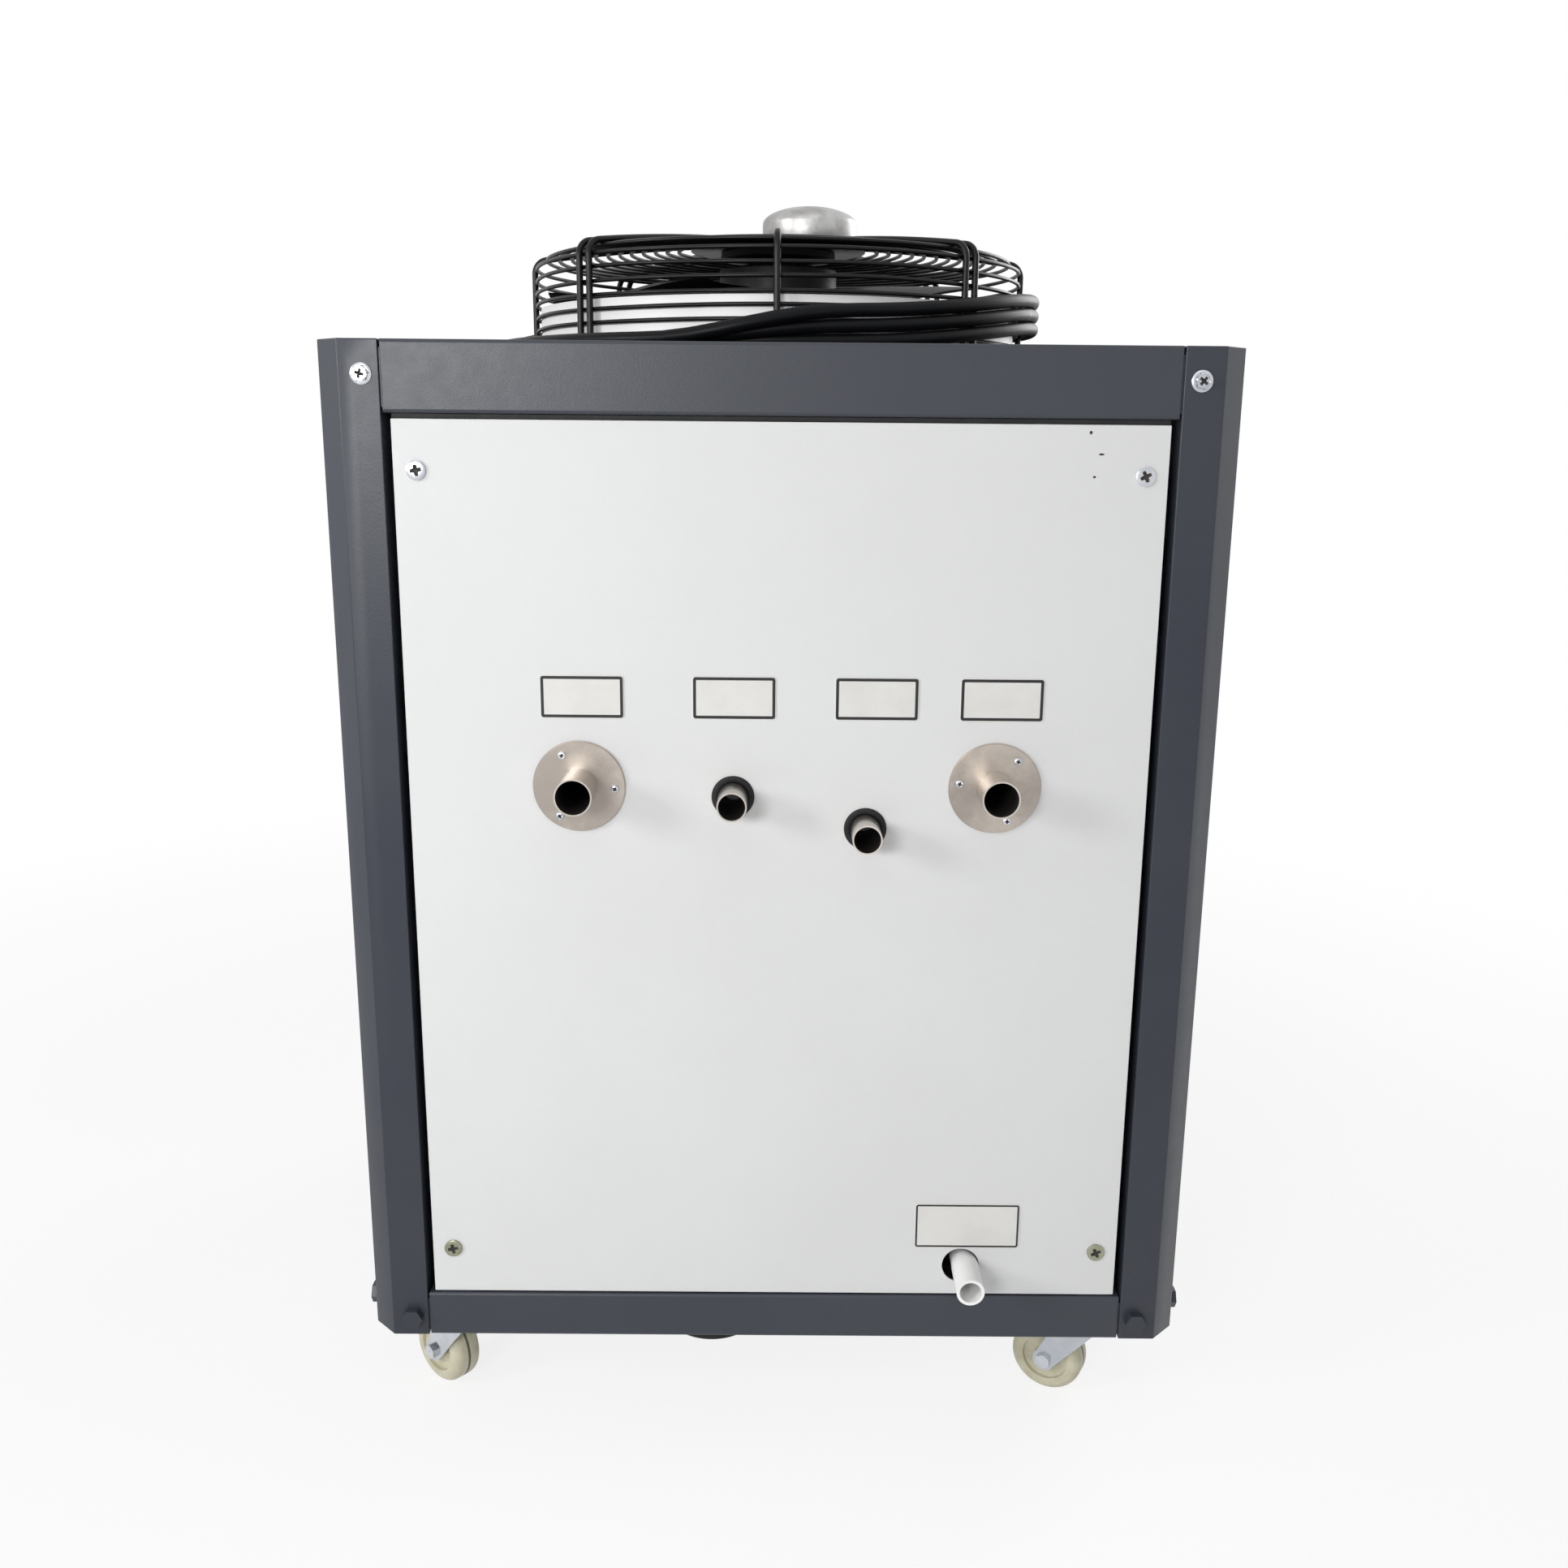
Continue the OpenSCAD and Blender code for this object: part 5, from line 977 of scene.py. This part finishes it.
lens = [(2, 1.9), (8.7, 1.9), (8.5, 6.0), (7.8, 7.6), (6.0, 8.6), (3.2, 9.0), (0.6, 9.0)]
for x, finish in ((-95, 1), (-205, 2)):
    knob(lamps, x, 675, bezel, 0, 48)
    knob(lamps, x, 675, lens, finish, 48)
lamps.piece("signal_lamps", [zinc, green_lens, red_lens], slot="black_plastic")

# %% Main switch and its plate
SWITCH_AT = (-150, 765)
PRINT = [(0, 5.9), (0, 6.15)]
plate = Shell()
flat = partial(pad, plate, *SWITCH_AT)
flat(64, 64, 3, [(0, 0), (0, 5.2), (0.8, 6.0), (1.2, 6.0)])
ring_line = spun([(25, 5.9), (26.2, 5.9), (26.2, 6.15), (25, 6.15)], 96, "y",
                 np.array([SWITCH_AT[0], PANEL_Y, SWITCH_AT[1]]) * MM)
plate.sheet(ring_line, closed=True, finish=1)
flat(1.2, 4.2, 0.5, PRINT, 1, (0, 29.2))
for sx in (-1, 1):
    for sy in (-1, 1):
        flat(4.6, 4.6, 2.2, [(0, 5.9), (0.2, 6.6), (0.8, 6.8)], 2, (27.5 * sx, 27.5 * sy))
plate.piece("switch_plate", [yellow_film, border, zinc], slot="black_plastic")
turner = Shell()
knob(turner, *SWITCH_AT, [(2, -6), (5.9, -6), (5.9, 6.5), (21.4, 6.5), (22, 7.1), (22, 22), (21, 25.4), (18.6, 26.5),
                          (2, 26.5)], 0, 72)
pad(turner, *SWITCH_AT, 12, 32, 2.5, [(0, 26.0), (0, 30), (0.6, 40), (1.2, 42.6), (2.4, 44.0)])
turner.piece("switch_knob", [red_plastic], "main_switch", "red_plastic", body="main_switch")
print("rear panel pieces", 5)

# %% [markdown]
# ## Finishes on the carried-over parts
# Nodes whose CAD shape is already right keep it and only get a better finish. Each group below is one finish.

# %% Finishes by node
carried = [
    (galvanised, "base_pan water_tank electrical_box"), (slate_coat, "base_bolts"), (flange_nickel, "flange_plates"),
    (nickel, "water_outlet_pipe water_inlet_pipe makeup_pipe overflow_pipe"), (drain_plastic, "drain_pipe"),
    (rubber, "base_bung"), (collar_coat, "fan_collar"), (motor_coat, "compressor"), (pump_coat, "water_pump"),
    (copper, "evaporator_coil refrigerant_lines"), (fins, "condenser_coils"),
    (zinc, "guard_screws " + " ".join("caster_axle_" + corner for corner in CORNERS)),
]
for finish, names in carried:
    for node in names.split():
        mesh = NODES[node].data
        mesh.materials.clear()
        mesh.materials.append(finish)
print("carried-over nodes", sum(len(names.split()) for _, names in carried))

# %% [markdown]
# ## Floor, light and background
# Studio light for a pale product picture: the sky lights all sides evenly, a small lamp in front draws the sheen on
# the frame's upper left, one at the left draws the pipes' shadows, and broad ones above and behind fill. The floor
# and the sky are white for the camera, in shiny reflections and through glass. Other light finds them darker, so
# they don't wash the object out.

# %% Floor
def seen(tree):
    """1 for rays from the camera, off shiny surfaces or through glass, 0 for the light that falls on the object."""
    path = tree.nodes.new("ShaderNodeLightPath")
    total = path.outputs["Is Camera Ray"]
    for ray in ("Is Glossy Ray", "Is Transmission Ray"):
        plus = tree.nodes.new("ShaderNodeMath")
        plus.operation, plus.use_clamp = "ADD", True
        tree.links.new(total, plus.inputs[0])
        tree.links.new(path.outputs[ray], plus.inputs[1])
        total = plus.outputs[0]
    return total


floor_mesh = bpy.data.meshes.new("studio_floor")
floor_mesh.from_pydata([(-9, -9, 0), (9, -9, 0), (9, 9, 0), (-9, 9, 0)], [], [(0, 1, 2, 3)])
floor = added("studio_floor", floor_mesh)
ground = Finish("studio_floor_paint", roughness=0.9, specular_ior_level=0.0)
ground.feed(base_color=ground.mix(ground.noise(2.0, 2), (246, 246, 246), (249, 249, 249)))
x, y = ground.axis("x"), ground.axis("y")
far = ground.band((x * x + y * y) ** 0.5, 0.9, 2.6)
share = Wire(ground, seen(ground.tree)) * (0.82 + 0.18 * far)
both = ground.node("MixShader", {0: share, 1: Wire(ground, ground.shader.outputs[0]), 2: ground.node("Emission")})
ground.tree.links.new(both.socket, ground.tree.nodes["Material Output"].inputs["Surface"])
floor_mesh.materials.append(ground.material)

# %% World and lamps
SKY_LEVEL = 0.37
scene.view_settings.view_transform = "Standard"
world = bpy.data.worlds.new("studio_world")
scene.world = world
world.use_nodes = True
nodes, links = world.node_tree.nodes, world.node_tree.links
level = nodes.new("ShaderNodeMapRange")
level.inputs["To Min"].default_value = SKY_LEVEL
links.new(seen(world.node_tree), level.inputs["Value"])
links.new(level.outputs[0], nodes["Background"].inputs["Strength"])
nodes["Background"].inputs["Color"].default_value = (1, 1, 1, 1)


def softbox(name, spot, aim, width, height, power):
    """A flat lamp at a spot that faces a point; its softness grows with its size."""
    data = bpy.data.lights.new(name, "AREA")
    data.shape, data.size, data.size_y, data.energy = "RECTANGLE", width, height, power
    lamp = added(name, data)
    lamp.visible_camera = False
    back_way = np.array(spot, float) - np.array(aim, float)
    back_way /= np.linalg.norm(back_way)
    side_way = np.cross([0, 0, 1.0], back_way)
    side_way /= np.linalg.norm(side_way)
    lamp.matrix_world = placed([side_way, np.cross(back_way, side_way), back_way], spot)


softbox("sheen_softbox", (-1.0, -2.7, 1.25), (-0.2, 0, 0.9), 0.8, 0.42, 29)
softbox("side_softbox", (-2.7, -1.75, 1.55), (0, -0.3, 0.65), 0.8, 0.8, 34)
softbox("top_softbox", (-0.3, -2.0, 3.4), (0, 0, 0.6), 2.0, 2.0, 8)
softbox("rear_softbox", (2.7, 2.5, 1.9), (0, 0, 0.6), 2.0, 2.0, 64)
